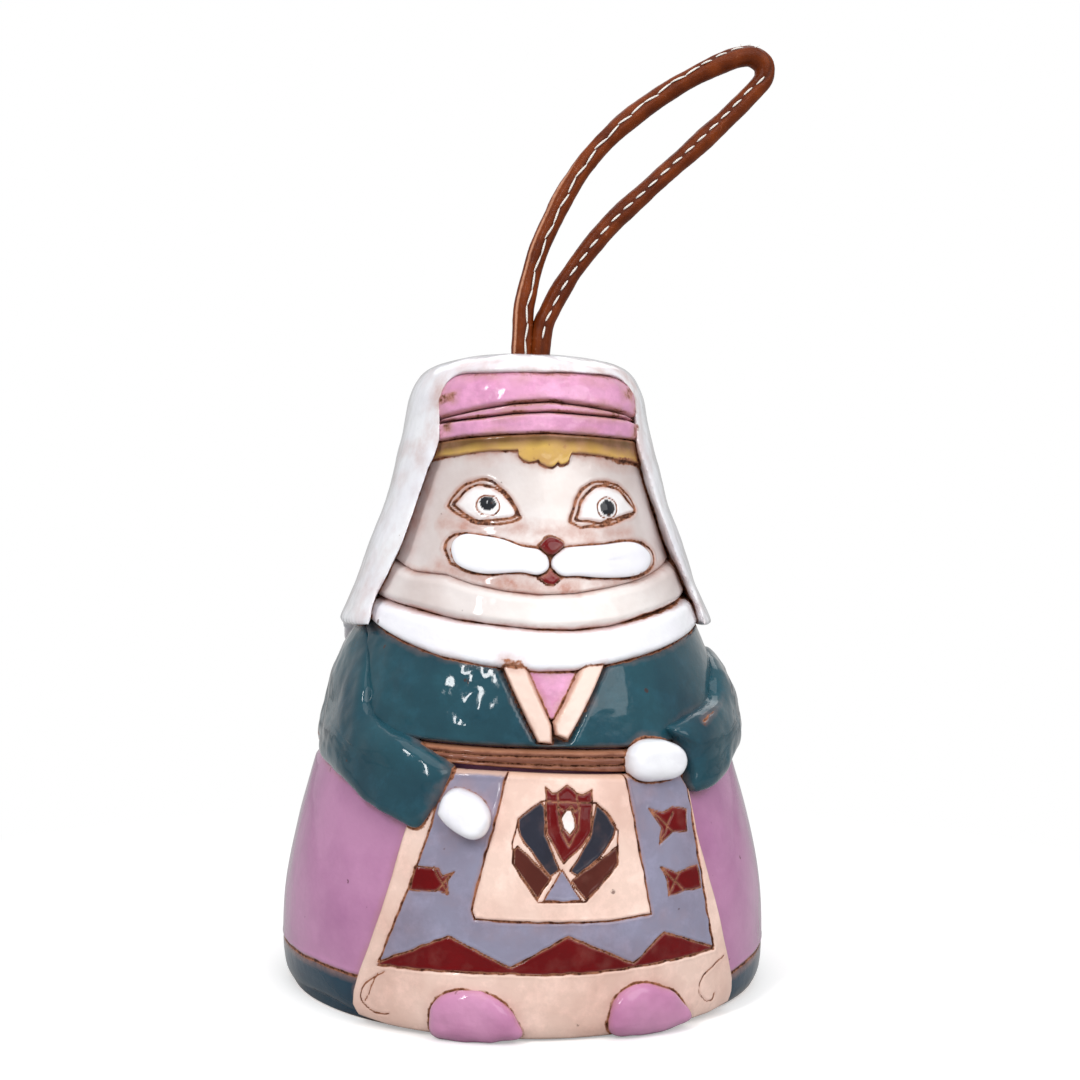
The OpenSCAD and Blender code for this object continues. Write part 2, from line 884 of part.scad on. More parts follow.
bell_shell();
apron();
belt();
jacket();
lapel_left();
lapel_right();
shirt_front();
neck_scarf();
chin_roll();
face();
muzzle_left();
muzzle_right();
nose();
hair_fringe();
cap_lower_band();
cap_middle_band();
cap_upper_band();
veil();
sleeve_left();
sleeve_right();
hand_left();
hand_right();
shoe_left();
shoe_right();
strap_knot();
strap_bend();
hanging_loop();
clapper_eyelet();
clapper_cord();
clapper_bead();
bead_knot_upper();
bead_knot_lower();
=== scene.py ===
import bpy
import json
import math
import numpy as np
from mathutils import Matrix, Vector, noise
from mathutils.bvhtree import BVHTree
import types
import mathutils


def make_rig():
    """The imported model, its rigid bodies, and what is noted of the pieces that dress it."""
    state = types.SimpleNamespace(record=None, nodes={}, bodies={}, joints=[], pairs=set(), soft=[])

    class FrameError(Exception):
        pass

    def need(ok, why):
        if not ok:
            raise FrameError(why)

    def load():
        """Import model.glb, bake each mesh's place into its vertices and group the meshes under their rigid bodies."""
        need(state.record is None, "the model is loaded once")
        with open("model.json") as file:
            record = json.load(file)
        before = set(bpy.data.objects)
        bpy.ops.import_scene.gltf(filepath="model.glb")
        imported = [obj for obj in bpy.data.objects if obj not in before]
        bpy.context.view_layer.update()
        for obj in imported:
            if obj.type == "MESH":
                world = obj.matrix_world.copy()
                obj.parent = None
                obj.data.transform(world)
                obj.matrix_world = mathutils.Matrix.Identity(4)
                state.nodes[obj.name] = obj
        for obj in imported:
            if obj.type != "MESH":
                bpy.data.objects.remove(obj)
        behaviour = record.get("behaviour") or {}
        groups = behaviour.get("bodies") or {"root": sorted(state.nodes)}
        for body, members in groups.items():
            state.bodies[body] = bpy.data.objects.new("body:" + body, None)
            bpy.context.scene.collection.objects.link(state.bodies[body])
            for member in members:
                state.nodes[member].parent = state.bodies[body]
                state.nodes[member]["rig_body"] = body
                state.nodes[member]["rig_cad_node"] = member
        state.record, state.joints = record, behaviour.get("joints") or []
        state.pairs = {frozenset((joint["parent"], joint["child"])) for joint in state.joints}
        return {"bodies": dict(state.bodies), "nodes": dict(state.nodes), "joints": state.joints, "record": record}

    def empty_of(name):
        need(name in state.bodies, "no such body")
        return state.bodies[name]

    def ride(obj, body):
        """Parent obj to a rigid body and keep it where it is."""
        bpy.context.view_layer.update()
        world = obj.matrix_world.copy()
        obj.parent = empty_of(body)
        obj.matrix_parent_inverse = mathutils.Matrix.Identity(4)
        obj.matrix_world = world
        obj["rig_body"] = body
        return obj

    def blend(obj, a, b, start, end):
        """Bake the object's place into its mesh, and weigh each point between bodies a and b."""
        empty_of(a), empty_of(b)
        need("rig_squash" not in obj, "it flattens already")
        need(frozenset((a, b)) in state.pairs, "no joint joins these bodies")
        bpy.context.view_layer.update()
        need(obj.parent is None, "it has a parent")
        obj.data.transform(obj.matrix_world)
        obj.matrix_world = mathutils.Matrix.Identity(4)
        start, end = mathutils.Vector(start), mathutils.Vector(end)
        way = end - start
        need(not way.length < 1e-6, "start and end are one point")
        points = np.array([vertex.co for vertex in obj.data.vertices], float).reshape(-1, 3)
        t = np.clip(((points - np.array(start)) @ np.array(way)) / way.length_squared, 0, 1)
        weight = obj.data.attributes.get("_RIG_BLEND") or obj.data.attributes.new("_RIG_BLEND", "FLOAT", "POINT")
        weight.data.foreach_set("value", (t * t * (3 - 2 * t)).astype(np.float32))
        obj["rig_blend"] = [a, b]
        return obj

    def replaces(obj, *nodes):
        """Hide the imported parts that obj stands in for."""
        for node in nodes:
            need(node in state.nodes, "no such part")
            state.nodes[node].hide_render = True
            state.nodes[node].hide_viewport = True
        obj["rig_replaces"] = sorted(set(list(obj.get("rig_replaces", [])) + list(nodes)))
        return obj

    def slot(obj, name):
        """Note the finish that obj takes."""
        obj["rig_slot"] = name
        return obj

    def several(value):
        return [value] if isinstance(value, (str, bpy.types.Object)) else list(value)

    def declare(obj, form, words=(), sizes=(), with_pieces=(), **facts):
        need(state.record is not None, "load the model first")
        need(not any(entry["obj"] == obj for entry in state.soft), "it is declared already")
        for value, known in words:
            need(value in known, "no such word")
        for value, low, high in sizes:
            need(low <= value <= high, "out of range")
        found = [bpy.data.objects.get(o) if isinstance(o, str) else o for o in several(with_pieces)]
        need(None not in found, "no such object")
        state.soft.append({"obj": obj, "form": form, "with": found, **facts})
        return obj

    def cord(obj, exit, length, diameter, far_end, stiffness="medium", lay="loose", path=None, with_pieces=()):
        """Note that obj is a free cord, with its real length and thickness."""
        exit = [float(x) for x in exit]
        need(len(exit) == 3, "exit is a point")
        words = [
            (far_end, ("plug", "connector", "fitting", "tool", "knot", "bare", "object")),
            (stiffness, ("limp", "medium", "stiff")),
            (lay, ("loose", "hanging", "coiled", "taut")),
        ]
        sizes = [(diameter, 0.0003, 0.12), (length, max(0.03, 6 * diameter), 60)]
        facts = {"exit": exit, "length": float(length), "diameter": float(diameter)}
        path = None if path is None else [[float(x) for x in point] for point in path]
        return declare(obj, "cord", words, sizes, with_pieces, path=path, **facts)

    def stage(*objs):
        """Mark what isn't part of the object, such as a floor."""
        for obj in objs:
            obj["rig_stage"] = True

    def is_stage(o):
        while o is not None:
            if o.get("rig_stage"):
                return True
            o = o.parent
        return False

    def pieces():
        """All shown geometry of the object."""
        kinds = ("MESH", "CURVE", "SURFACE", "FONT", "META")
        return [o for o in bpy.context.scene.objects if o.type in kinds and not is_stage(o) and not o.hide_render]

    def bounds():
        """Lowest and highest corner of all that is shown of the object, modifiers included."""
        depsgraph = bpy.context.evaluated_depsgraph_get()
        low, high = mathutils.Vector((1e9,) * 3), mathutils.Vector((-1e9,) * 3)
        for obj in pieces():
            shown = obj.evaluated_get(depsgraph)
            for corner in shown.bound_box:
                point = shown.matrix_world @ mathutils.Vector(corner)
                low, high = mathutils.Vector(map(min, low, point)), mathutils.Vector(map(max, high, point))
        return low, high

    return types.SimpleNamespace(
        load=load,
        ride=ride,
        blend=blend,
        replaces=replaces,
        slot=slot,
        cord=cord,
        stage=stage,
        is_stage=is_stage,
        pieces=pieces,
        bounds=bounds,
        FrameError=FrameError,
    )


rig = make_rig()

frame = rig.load()
cadBox = [list(corner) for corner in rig.bounds()]
nodes = frame["nodes"]
mm = 0.001


# camera

shot = dict(
    turn=9, distance=0.255, height=0.0708, aside=0.0023,  # the bell is turned to the camera's right
    lens=51, roll=0.5,
)

def placeCamera():
    turn = math.radians(shot["turn"])
    aim = Matrix.Rotation(-turn, 3, "Z") @ Matrix.Rotation(math.radians(90), 3, "X")
    aim = aim @ Matrix.Rotation(math.radians(shot["roll"]), 3, "Z")
    back = Vector((-math.sin(turn), -math.cos(turn), 0))
    right = Vector((math.cos(turn), -math.sin(turn), 0))
    spot = back * shot["distance"] + right * shot["aside"] + Vector((0, 0, shot["height"]))
    bpy.ops.object.camera_add(location=spot, rotation=aim.to_euler())
    camera = bpy.context.object
    camera.name = "camera"
    camera.data.lens = shot["lens"]
    camera.data.sensor_width = 36
    camera.data.clip_start = 0.01
    bpy.context.scene.camera = camera

placeCamera()
print("camera placed")


# shader wiring

class Wire:  # a socket that can be added, multiplied and so on
    def __init__(self, tree, socket=None):
        self.tree = tree
        self.socket = socket

    def make(self, kind, settings=None, inputs=None, out=0):
        node = self.tree.nodes.new("ShaderNode" + kind)
        for key, value in (settings or {}).items():
            setattr(node, key, value)
        for key, value in (inputs or {}).items():
            if isinstance(value, Wire):
                self.tree.links.new(value.socket, node.inputs[key])
            else:
                node.inputs[key].default_value = value
        return Wire(self.tree, node.outputs[out])

    def sum(self, what, a, b):
        return self.make("Math", {"operation": what}, {0: a, 1: b})

    def __add__(self, other):
        return self.sum("ADD", self, other)

    def __sub__(self, other):
        return self.sum("SUBTRACT", self, other)

    def __rsub__(self, other):
        return self.sum("SUBTRACT", other, self)

    def __mul__(self, other):
        return self.sum("MULTIPLY", self, other)

    __radd__ = __add__
    __rmul__ = __mul__

    def limit(self, low, high):  # remaps low..high to 0..1 and clips
        return self.make("MapRange", {"clamp": True}, {0: self, 1: low, 2: high})

    def blend(self, a, b):  # colour a where this is 0, b where it is 1
        return self.make("Mix", {"data_type": "RGBA"}, {0: self, 6: a, 7: b}, out=2)

    def times(self, colour):
        return self.make("Mix", {"data_type": "RGBA", "blend_type": "MULTIPLY"}, {0: 1.0, 6: self, 7: colour},
                         out=2)

    def grain(self, scale, detail, roughness=0.5):  # noise read at this place
        return self.make("TexNoise", None, {"Vector": self, "Scale": scale, "Detail": detail,
                                            "Roughness": roughness})

    def bump(self, strength, distance):  # this height, as a normal
        return self.make("Bump", None, {"Strength": strength, "Distance": distance, "Height": self})

    def mask(self, name):  # a number kept on the points of the piece
        return self.make("Attribute", {"attribute_name": name}, out=2)


def rgb(r, g, b):  # screen colour to linear
    parts = [c / 255 for c in (r, g, b)]
    return tuple(c / 12.92 if c <= 0.04045 else ((c + 0.055) / 1.055) ** 2.4 for c in parts) + (1.0,)


def newMaterial(name):
    material = bpy.data.materials.new(name)
    material.use_nodes = True
    return material, Wire(material.node_tree).make("TexCoord", out=3)


def plug(material, sockets):  # sets or wires the shader's own sockets
    tree = material.node_tree
    for key, value in sockets.items():
        socket = tree.nodes["Principled BSDF"].inputs[key]
        if isinstance(value, Wire):
            tree.links.new(value.socket, socket)
        else:
            socket.default_value = value
    return material


def dip(finish, *pieces):
    for piece in pieces:
        piece.data.materials.append(finish)


oxide = dict(dark=rgb(72, 38, 26), light=rgb(170, 114, 86), haze=rgb(190, 140, 126))
glass = dict(broad=95.0, milky=240.0, specks=260.0, fine=620.0, tooth=1900.0, milk=(1.5, 1.5, 1.55, 1),
             specular=0.08, coatRough=0.05, coatIor=1.36, bump=0.35, depth=0.0011)

def glaze(name, tone, deep, gloss=0.1, coat=1.0, haze=0.45, wave=1.0, bare=None, ink=1.0, cloud=0.1):
    material, place = newMaterial(name)
    broad = place.grain(glass["broad"], 4.0)
    fine = place.grain(glass["fine"], 4.0, 0.6)
    tooth = place.grain(glass["tooth"], 2.0)
    scored, smudge = place.mask("scored"), place.mask("smudge")
    if tone:
        colour = (broad.limit(0.35, 0.75) * 0.9).blend(tone, deep)
    else:  # the piece carries its own paint
        paint = place.make("Attribute", {"attribute_name": "paint"})
        colour = (broad.limit(0.4, 0.75) * 0.8).blend(paint, paint.times(deep))
    milky = place.grain(glass["milky"], 5.0, 0.7).limit(0.48, 0.72)
    colour = (milky * cloud).blend(colour, colour.times(glass["milk"]))
    if bare:
        colour = ((place.mask("worn") * 1.3 + fine - 0.75).limit(0.0, 0.6) * 0.75).blend(colour, bare)
    dots = place.make("TexVoronoi", {"feature": "F1"}, {"Vector": place, "Scale": glass["specks"]})
    speck = (0.12 - dots).limit(0.0, 0.03) * (fine - 0.56).limit(0.0, 0.05) * 0.7
    colour = speck.blend(colour, oxide["dark"])
    stain = (smudge * (fine * 1.5 + broad * 0.8 - 0.35)).limit(0.12, 0.95) * haze
    colour = stain.blend(colour, oxide["haze"])
    line = (scored * 1.6 - tooth * 0.55 - fine * 0.5).limit(0.1, 0.45) * ink
    brown = (fine * 0.6 + tooth * 0.4 + (1.0 - scored) * 0.3).limit(0.46, 0.66)
    brown = brown.blend(oxide["dark"], oxide["light"])
    height = broad * 1.6 * wave + fine * 0.12 * wave + tooth * line * 0.25
    return plug(material, {
        "Base Color": line.blend(colour, brown), "Roughness": gloss + fine * 0.06 + line * 0.4,
        "Coat Weight": (1.0 - line * 0.75) * coat, "Specular IOR Level": glass["specular"],
        "Coat Roughness": glass["coatRough"], "Coat IOR": glass["coatIor"],
        "Normal": height.bump(glass["bump"], glass["depth"]),
    })


# clay handling, in millimetres until a piece is written

def solo(piece):
    bpy.ops.object.select_all(action="DESELECT")
    piece.select_set(True)
    bpy.context.view_layer.objects.active = piece


def editAll(piece, *jobs):  # tools and their settings, run with the whole piece selected
    solo(piece)
    bpy.ops.object.mode_set(mode="EDIT")
    bpy.ops.mesh.select_all(action="SELECT")
    for tool, settings in jobs:
        tool(**settings)
    bpy.ops.object.mode_set(mode="OBJECT")


def faceOutwards(piece):
    editAll(piece, (bpy.ops.mesh.remove_doubles, {"threshold": 0.000002}),
            (bpy.ops.mesh.normals_make_consistent, {"inside": False}))
    bpy.ops.object.shade_smooth()


def applyAll(piece):
    solo(piece)
    for modifier in list(piece.modifiers):
        bpy.ops.object.modifier_apply(modifier=modifier.name)


def join(pieces, name):
    solo(pieces[0])
    for piece in pieces[1:]:
        piece.select_set(True)
    if len(pieces) > 1:
        bpy.ops.object.join()
    pieces[0].name = name
    return pieces[0]


def copyOf(data, name):
    piece = bpy.data.objects.new(name, data.copy())
    bpy.context.scene.collection.objects.link(piece)
    return piece


def readPoints(piece):
    points = np.empty(len(piece.data.vertices) * 3)
    piece.data.vertices.foreach_get("co", points)
    return points.reshape(-1, 3) / mm


def writePoints(piece, points):
    piece.data.vertices.foreach_set("co", (points * mm).ravel())
    piece.data.update()


def readNormals(piece):
    normals = np.empty(len(piece.data.vertices) * 3)
    piece.data.vertex_normals.foreach_get("vector", normals)
    return normals.reshape(-1, 3)


def pushOut(piece, amount):
    writePoints(piece, readPoints(piece) + readNormals(piece) * amount[:, None])


def mark(piece, **masks):
    for name, values in masks.items():
        layer = piece.data.attributes.get(name) or piece.data.attributes.new(name, "FLOAT", "POINT")
        layer.data.foreach_set("value", np.asarray(values, np.float32).ravel())


def readMark(piece, name):
    values = np.zeros(len(piece.data.vertices), np.float32)
    if name in piece.data.attributes:
        piece.data.attributes[name].data.foreach_get("value", values)
    return values


def clearMarks(piece):
    blank = np.zeros(len(piece.data.vertices))
    mark(piece, scored=blank, smudge=blank, worn=blank)


def paintPoints(piece, colours):
    layer = piece.data.color_attributes.new("paint", "FLOAT_COLOR", "POINT")
    layer.data.foreach_set("color", colours.astype(np.float32).ravel())


def lumps(points, size, seed=0):  # smooth noise from -1 to 1 over humps of that size
    shift = Vector((seed * 7.31, seed * 3.17, seed * 1.93))
    return np.array([noise.noise(Vector(p) / size + shift) for p in points])


def ripple(piece, *waves):  # each wave is size, amount and seed
    points = readPoints(piece)
    pushOut(piece, sum(lumps(points, size, seed) * amount for size, amount, seed in waves))


def smoothLine(keys, steps):
    keys = np.array(keys, float)
    ends = np.vstack([keys[:1], keys, keys[-1:]])
    out = []
    for a, b, c, d in zip(ends, ends[1:], ends[2:], ends[3:]):
        for i in range(steps):
            t = i / steps
            out.append(0.5 * (2 * b + (c - a) * t + (2 * a - 5 * b + 4 * c - d) * t * t
                              + (3 * b - a - 3 * c + d) * t ** 3))
    return np.array(out + [keys[-1]])


def runOf(line):  # length along a line, at each of its points
    return np.concatenate([[0], np.cumsum(np.linalg.norm(np.diff(line, axis=0), axis=1))])


def along(cuts, run, line):  # the line's places at those lengths
    return np.stack([np.interp(cuts, run, column) for column in line.T], axis=-1)


def near(points, line):  # distance from each point to a line of points
    line = np.array(line, float)
    best = np.full(len(points), 1e9)
    for a, b in zip(line[:-1], line[1:]):
        d = b - a
        t = np.clip(((points - a) @ d) / max(d @ d, 1e-12), 0, 1)
        best = np.minimum(best, np.linalg.norm(points - a - t[:, None] * d, axis=1))
    return best


def inside(points, outline):
    x, z = points.T
    hit = np.zeros(len(points), bool)
    for (ax, az), (bx, bz) in zip(outline, np.roll(outline, -1, axis=0)):
        if az != bz:
            hit ^= ((az > z) != (bz > z)) & (x < (bx - ax) * (z - az) / (bz - az) + ax)
    return hit


def groove(gap, half, depth, lip):  # a line pressed into clay throws up a lip on both sides
    return lip * np.exp(-((gap - 2.1 * half) / (0.8 * half)) ** 2) - depth * np.exp(-(gap / half) ** 2)


def filled(gap, half):  # how much of the line the oxide fills
    return np.clip(1.35 - gap / (1.1 * half), 0, 1)


def wrap(reach, angle, z):  # round the bell, with angle 0 at the front
    turn = np.radians(angle)
    return np.stack([reach * np.sin(turn), -reach * np.cos(turn), z], axis=-1)


def closed(outline):
    return list(outline) + [outline[0]]


bell = dict(
    skirt=[(0, 37.8), (2.54, 39), (7.99, 39.3), (15.25, 38.93), (22.51, 37.71), (29.77, 35.96), (36.3, 34)],
    torso=[(36.3, 31.4), (41, 31.2), (49, 29.22), (57, 26), (62.4, 23.9), (67.8, 21.88), (73.2, 20.04),
           (78.6, 18.52), (84, 17.6), (89, 17.4), (93.3, 16.9), (96.16, 15.6), (97.73, 13.1), (98.3, 10.1)],
    dressed=[(34, 34.6), (38, 33.8), (41, 33.45), (45, 32.5), (49, 31.5), (53, 30.1), (57, 28.3), (62, 26.3)],
    waist=36.3,
)
skirtLine = smoothLine(bell["skirt"], 6)
torsoLine = smoothLine(bell["torso"], 6)
dressedLine = smoothLine(bell["skirt"][:-1] + bell["dressed"], 6)


def girth(z):  # radius of the bell body
    return np.where(z < bell["waist"], np.interp(z, *skirtLine.T), np.interp(z, *torsoLine.T))


def dressedGirth(z):  # radius over the belt and the jacket
    return np.interp(z, *dressedLine.T)


def onBell(points, lift, radius=girth):  # front view points to angle and height
    points = np.array(points, float)
    reach = radius(points[:, 1]) + lift
    return np.stack([np.degrees(np.arcsin(np.clip(points[:, 0] / reach, -1, 1))), points[:, 1]], axis=-1)


def steps(length, cell, edge, ends):  # cuts over a length, close together near the ends that are rounded
    rise = np.array([0, 0.02, 0.07, 0.15, 0.26, 0.4, 0.57, 0.77]) * edge
    inner = np.linspace(edge if ends[0] else 0, length - (edge if ends[1] else 0),
                        max(2, int(round((length - edge) / cell)) + 1))
    return np.concatenate([rise if ends[0] else [], inner, (length - rise[::-1]) if ends[1] else []]) / length


class Slab:  # a sheet of clay pressed on the bell, from four edges given as angle and height
    lift = 0.05
    shake = 0.16  # how far a drawn line strays

    def __init__(self, name, low, high, left, right, thick, edge=0.8, cell=0.4, radius=girth,
                 sides=(True, True, True, True), under=0.4):
        self.radius, self.under, self.fine = radius, under, cell * 0.55
        low, high, left, right = (np.array(line, float) for line in (low, high, left, right))
        middle = (low[len(low) // 2] + high[len(high) // 2]) / 2
        self.scale = np.array([math.radians(float(radius(middle[1])) + self.lift), 1])
        us = steps(self.length(low), cell, edge, sides[:2])
        vs = steps(max(self.length(left), self.length(right)), cell, edge, sides[2:])
        bpy.ops.mesh.primitive_grid_add(x_subdivisions=len(us) - 1, y_subdivisions=len(vs) - 1, size=1)
        self.piece = bpy.context.object
        self.piece.name = name
        spot = readPoints(self.piece) * mm + 0.5
        i = np.rint(spot[:, 0] * (len(us) - 1)).astype(int)
        j = np.rint(spot[:, 1] * (len(vs) - 1)).astype(int)
        u, v = us[i][:, None], vs[j][:, None]
        bottom, top = self.part(low, us)[i], self.part(high, us)[i]
        west, east = self.part(left, vs)[j], self.part(right, vs)[j]
        corner = (1 - u) * ((1 - v) * low[0] + v * high[0]) + u * ((1 - v) * low[-1] + v * high[-1])
        flat = (1 - v) * bottom + v * top + (1 - u) * west + u * east - corner
        self.angle, self.z = flat.T
        self.base = radius(self.z) + self.lift
        self.rim = self.toRim(i, j, sides)
        drop = np.clip(1 - self.rim / edge, 0, 1)
        self.height = thick * np.sqrt(1 - drop ** 2)
        self.scored, self.smudge, self.paint = np.zeros(len(i)), np.zeros(len(i)), None
        wobble = np.column_stack([flat * self.scale, np.zeros(len(i))])
        self.wave = np.stack([lumps(wobble, 1.6, 1), lumps(wobble, 1.6, 2)], axis=-1) * self.shake

    def length(self, line):
        return runOf(line * self.scale)[-1]

    def part(self, line, cuts):
        run = runOf(line * self.scale)
        return along(cuts, run / run[-1], line)

    def toRim(self, i, j, sides):  # distance over the clay to its nearest rounded edge
        grid = np.full((j.max() + 1, i.max() + 1), 0)
        grid[j, i] = np.arange(len(i))
        rim = np.full(len(i), 1e9)
        solid = self.solid(self.base)
        for axis, (first, last) in ((1, sides[:2]), (0, sides[2:])):
            run = np.linalg.norm(np.diff(solid[grid], axis=axis), axis=2)
            start = np.concatenate([np.zeros_like(run.take([0], axis)), np.cumsum(run, axis)], axis)
            far = start.take([-1], axis) - start
            for wanted, distance in ((first, start), (last, far)):
                if wanted:
                    rim[grid] = np.minimum(rim[grid], distance)
        return rim

    def solid(self, reach):
        return wrap(reach, self.angle, self.z)

    def lumps(self, size, seed):
        return lumps(self.solid(self.base), size, seed)

    def flat(self, points=None):  # lengths along the clay, for lines drawn on it
        angle, z = (self.angle, self.z) if points is None else np.array(points, float).T
        reach = self.radius(z) + self.lift
        return np.stack([np.radians(angle) * reach, z], axis=-1)

    def drawn(self, line, around=False):
        return self.flat(line if around else onBell(line, self.lift + 1, self.radius))

    def score(self, lines, width=0.5, depth=0.3, lip=0.06, around=False, haze=3.0, ink=1.0):
        spots = self.flat() + self.wave
        half = width / 2 * (1 + 0.36 * self.wave[:, 0] / self.shake)
        for line in lines:
            gap = near(spots, self.drawn(line, around))
            self.height += groove(gap, half, depth, lip)
            self.scored = np.maximum(self.scored, filled(gap, np.maximum(half, self.fine)) * ink)
            self.stain(gap, haze * width, ink, 1.5)

    def stain(self, gap, reach, amount, fade):
        self.smudge = np.maximum(self.smudge, np.clip(1 - gap / reach, 0, 1) ** fade * amount)

    def tint(self, colour):
        self.paint = np.tile(np.array(colour), (len(self.z), 1))

    def fill(self, outline, colour, sink=0.0):
        spots = self.flat() + self.wave * 0.6
        shape = self.drawn(outline)
        hit = inside(spots, shape)
        if sink:
            gap = near(spots, np.vstack([shape, shape[:1]]))
            self.height -= sink * np.where(hit, np.clip(gap / 0.35, 0, 1), 0)
        if colour is not None:
            self.paint[hit] = colour

    def finish(self, *waves, share=1):  # each wave is size, amount and seed
        for size, amount, seed in waves:
            self.height += self.lumps(size, seed) * amount * np.clip(self.rim / 1.2, 0.2, 1) * share
        wall = self.piece.modifiers.new("wall", "SOLIDIFY")
        wall.thickness = 0.1
        wall.offset = -1
        applyAll(self.piece)
        outer, inner = self.solid(self.base + self.height), self.solid(self.base - self.under)
        writePoints(self.piece, np.vstack([outer, inner]))
        blank, worn = np.zeros(len(self.z)), np.clip(1 - self.rim / 0.9, 0, 1)
        mark(self.piece, scored=np.concatenate([self.scored, blank]),
             smudge=np.concatenate([self.smudge, blank]), worn=np.concatenate([worn, worn]))
        if self.paint is not None:
            paintPoints(self.piece, np.vstack([self.paint, self.paint]))
        faceOutwards(self.piece)
        return self.piece


def bandSlab(name, low, high, thick, edge, cell, **more):  # a slab with straight ends
    return Slab(name, low, high, [low[0], high[0]], [low[-1], high[-1]], thick, edge=edge, cell=cell, **more)


def pressedBall(name, outline, height, spine, lift=0.0, radius=dressedGirth, plump=0.75, turns=96, rings=40,
                under=0.8, around=False, floor=False, peak=0.85, swell=None, soften=6):
    outline = np.array(outline, float)
    spine = np.array(spine, float)
    if not around:
        outline, spine = onBell(outline, lift + height / 2, radius), onBell(spine, lift + height / 2, radius)
    bpy.ops.mesh.primitive_uv_sphere_add(segments=turns, ring_count=rings, radius=1)
    piece = bpy.context.object
    piece.name = name
    ball = readPoints(piece) * mm
    share = np.mod(np.arctan2(ball[:, 1], ball[:, 0]) / (2 * math.pi), 1)
    loop = smoothLine(np.vstack([outline, outline[:1]]), 6)
    scale = np.array([math.radians(float(radius(outline[:, 1].mean()))), 1])
    run = runOf(loop * scale)
    border = along(share, run / run[-1], loop)
    a, b = spine * scale
    t = np.clip(((border * scale - a) @ (b - a)) / max((b - a) @ (b - a), 1e-9), 0, 1)[:, None]
    heart = spine[0] + (spine[1] - spine[0]) * (t * 0.96 + 0.02)
    polar = np.arccos(np.clip(ball[:, 2], -1, 1))
    spread = (1 - (1 - np.minimum(polar, math.pi - polar) / (math.pi / 2)) ** 1.7)[:, None]
    heart = spine.mean(axis=0) + (heart - spine.mean(axis=0)) * np.clip(spread / 0.45, 0, 1)
    angle, z = (heart + (border - heart) * spread).T
    level = np.sqrt(np.clip(1 - spread[:, 0] ** (2 / plump), 0, 1))
    full = height * swell(angle, z) if swell else height
    rise = np.where(ball[:, 2] > 0, full * level ** peak, -under * level ** 0.5)
    points = wrap(radius(z) + lift + rise, angle, z)
    if floor:
        points[:, 2] = np.maximum(points[:, 2], 0)
    writePoints(piece, points)
    smooth = piece.modifiers.new("smooth", "SMOOTH")
    smooth.iterations = soften
    applyAll(piece)
    clearMarks(piece)
    faceOutwards(piece)
    return piece


def scratch(piece, lines, width, depth, lip=0.05, haze=3.0):  # lines through the air near the clay
    points = readPoints(piece)
    wobble = points + np.stack([lumps(points, 1.6, seed) for seed in (5, 6, 7)], axis=-1) * Slab.shake
    push = np.zeros(len(points))
    scored, smudge = readMark(piece, "scored"), readMark(piece, "smudge")
    for line in lines:
        gap = near(wobble, line)
        push += groove(gap, width / 2, depth, lip)
        scored = np.maximum(scored, filled(gap, width / 2))
        smudge = np.maximum(smudge, np.clip(1 - gap / (haze * width), 0, 1) ** 1.5)
    pushOut(piece, push)
    mark(piece, scored=scored, smudge=smudge)


def air(points, radius, lift):  # front view points to places on the clay
    flat = onBell(points, lift, radius)
    return wrap(radius(flat[:, 1]) + lift, *flat.T)


def clayCopy(node, name, grain, soften):
    piece = copyOf(nodes[node].data, name)
    piece.data.materials.clear()
    editAll(piece, (bpy.ops.mesh.remove_doubles, {"threshold": 0.00001}))
    remesh = piece.modifiers.new("remesh", "REMESH")
    remesh.mode = "VOXEL"
    remesh.voxel_size = grain * mm
    smooth = piece.modifiers.new("smooth", "SMOOTH")
    smooth.factor = 0.5
    smooth.iterations = soften
    applyAll(piece)
    bpy.ops.object.shade_smooth()
    clearMarks(piece)
    return piece


# leather strap, folded over at the tip; its route is the solid strap's own

strap = dict(
    pivot=102, thick=3.5, around=28,
    route=[(-0.9, 4), (-0.7, 7.5), (0.2, 12), (1.6, 17), (3.6, 21.6), (6.3, 27), (9.9, 32.5), (14.6, 37.7),
           (19.7, 42), (25.4, 46), (31, 49.2), (35, 51), (38, 51.6), (40.2, 50.3), (40.3, 48), (38.6, 45.8),
           (35, 42), (31.2, 38.3), (27.3, 34.6), (23.2, 30.9), (19.1, 27), (15, 23.2), (11.5, 19.2),
           (8.3, 15), (5.7, 11), (3.7, 7.2), (2.4, 4)],
    foot=[(-1.1, -1), (2, -1)],
    seamTurns=[(0, 14), (0.12, 16), (0.22, 6), (0.32, -10), (0.41, -26), (0.46, -42), (0.51, -62),
               (0.535, -20), (0.56, 26), (0.62, 18), (0.75, 6), (1, -4)],
    stitch=2.9, thread=0.18, folded=(0.512, 0.562),
    shreds=[(35.6, 51.9, 0.6, 1.2), (36.4, 52.6, -0.4, 1.5), (37.2, 52.9, 0.9, 1.1), (37.9, 53.0, 0.2, 1.3),
            (38.6, 52.8, 1.2, 1.6), (39.3, 52.4, 0.7, 1.2), (36.9, 52.4, 1.6, 1.7), (34.6, 51.8, 0.3, 0.9)],
)


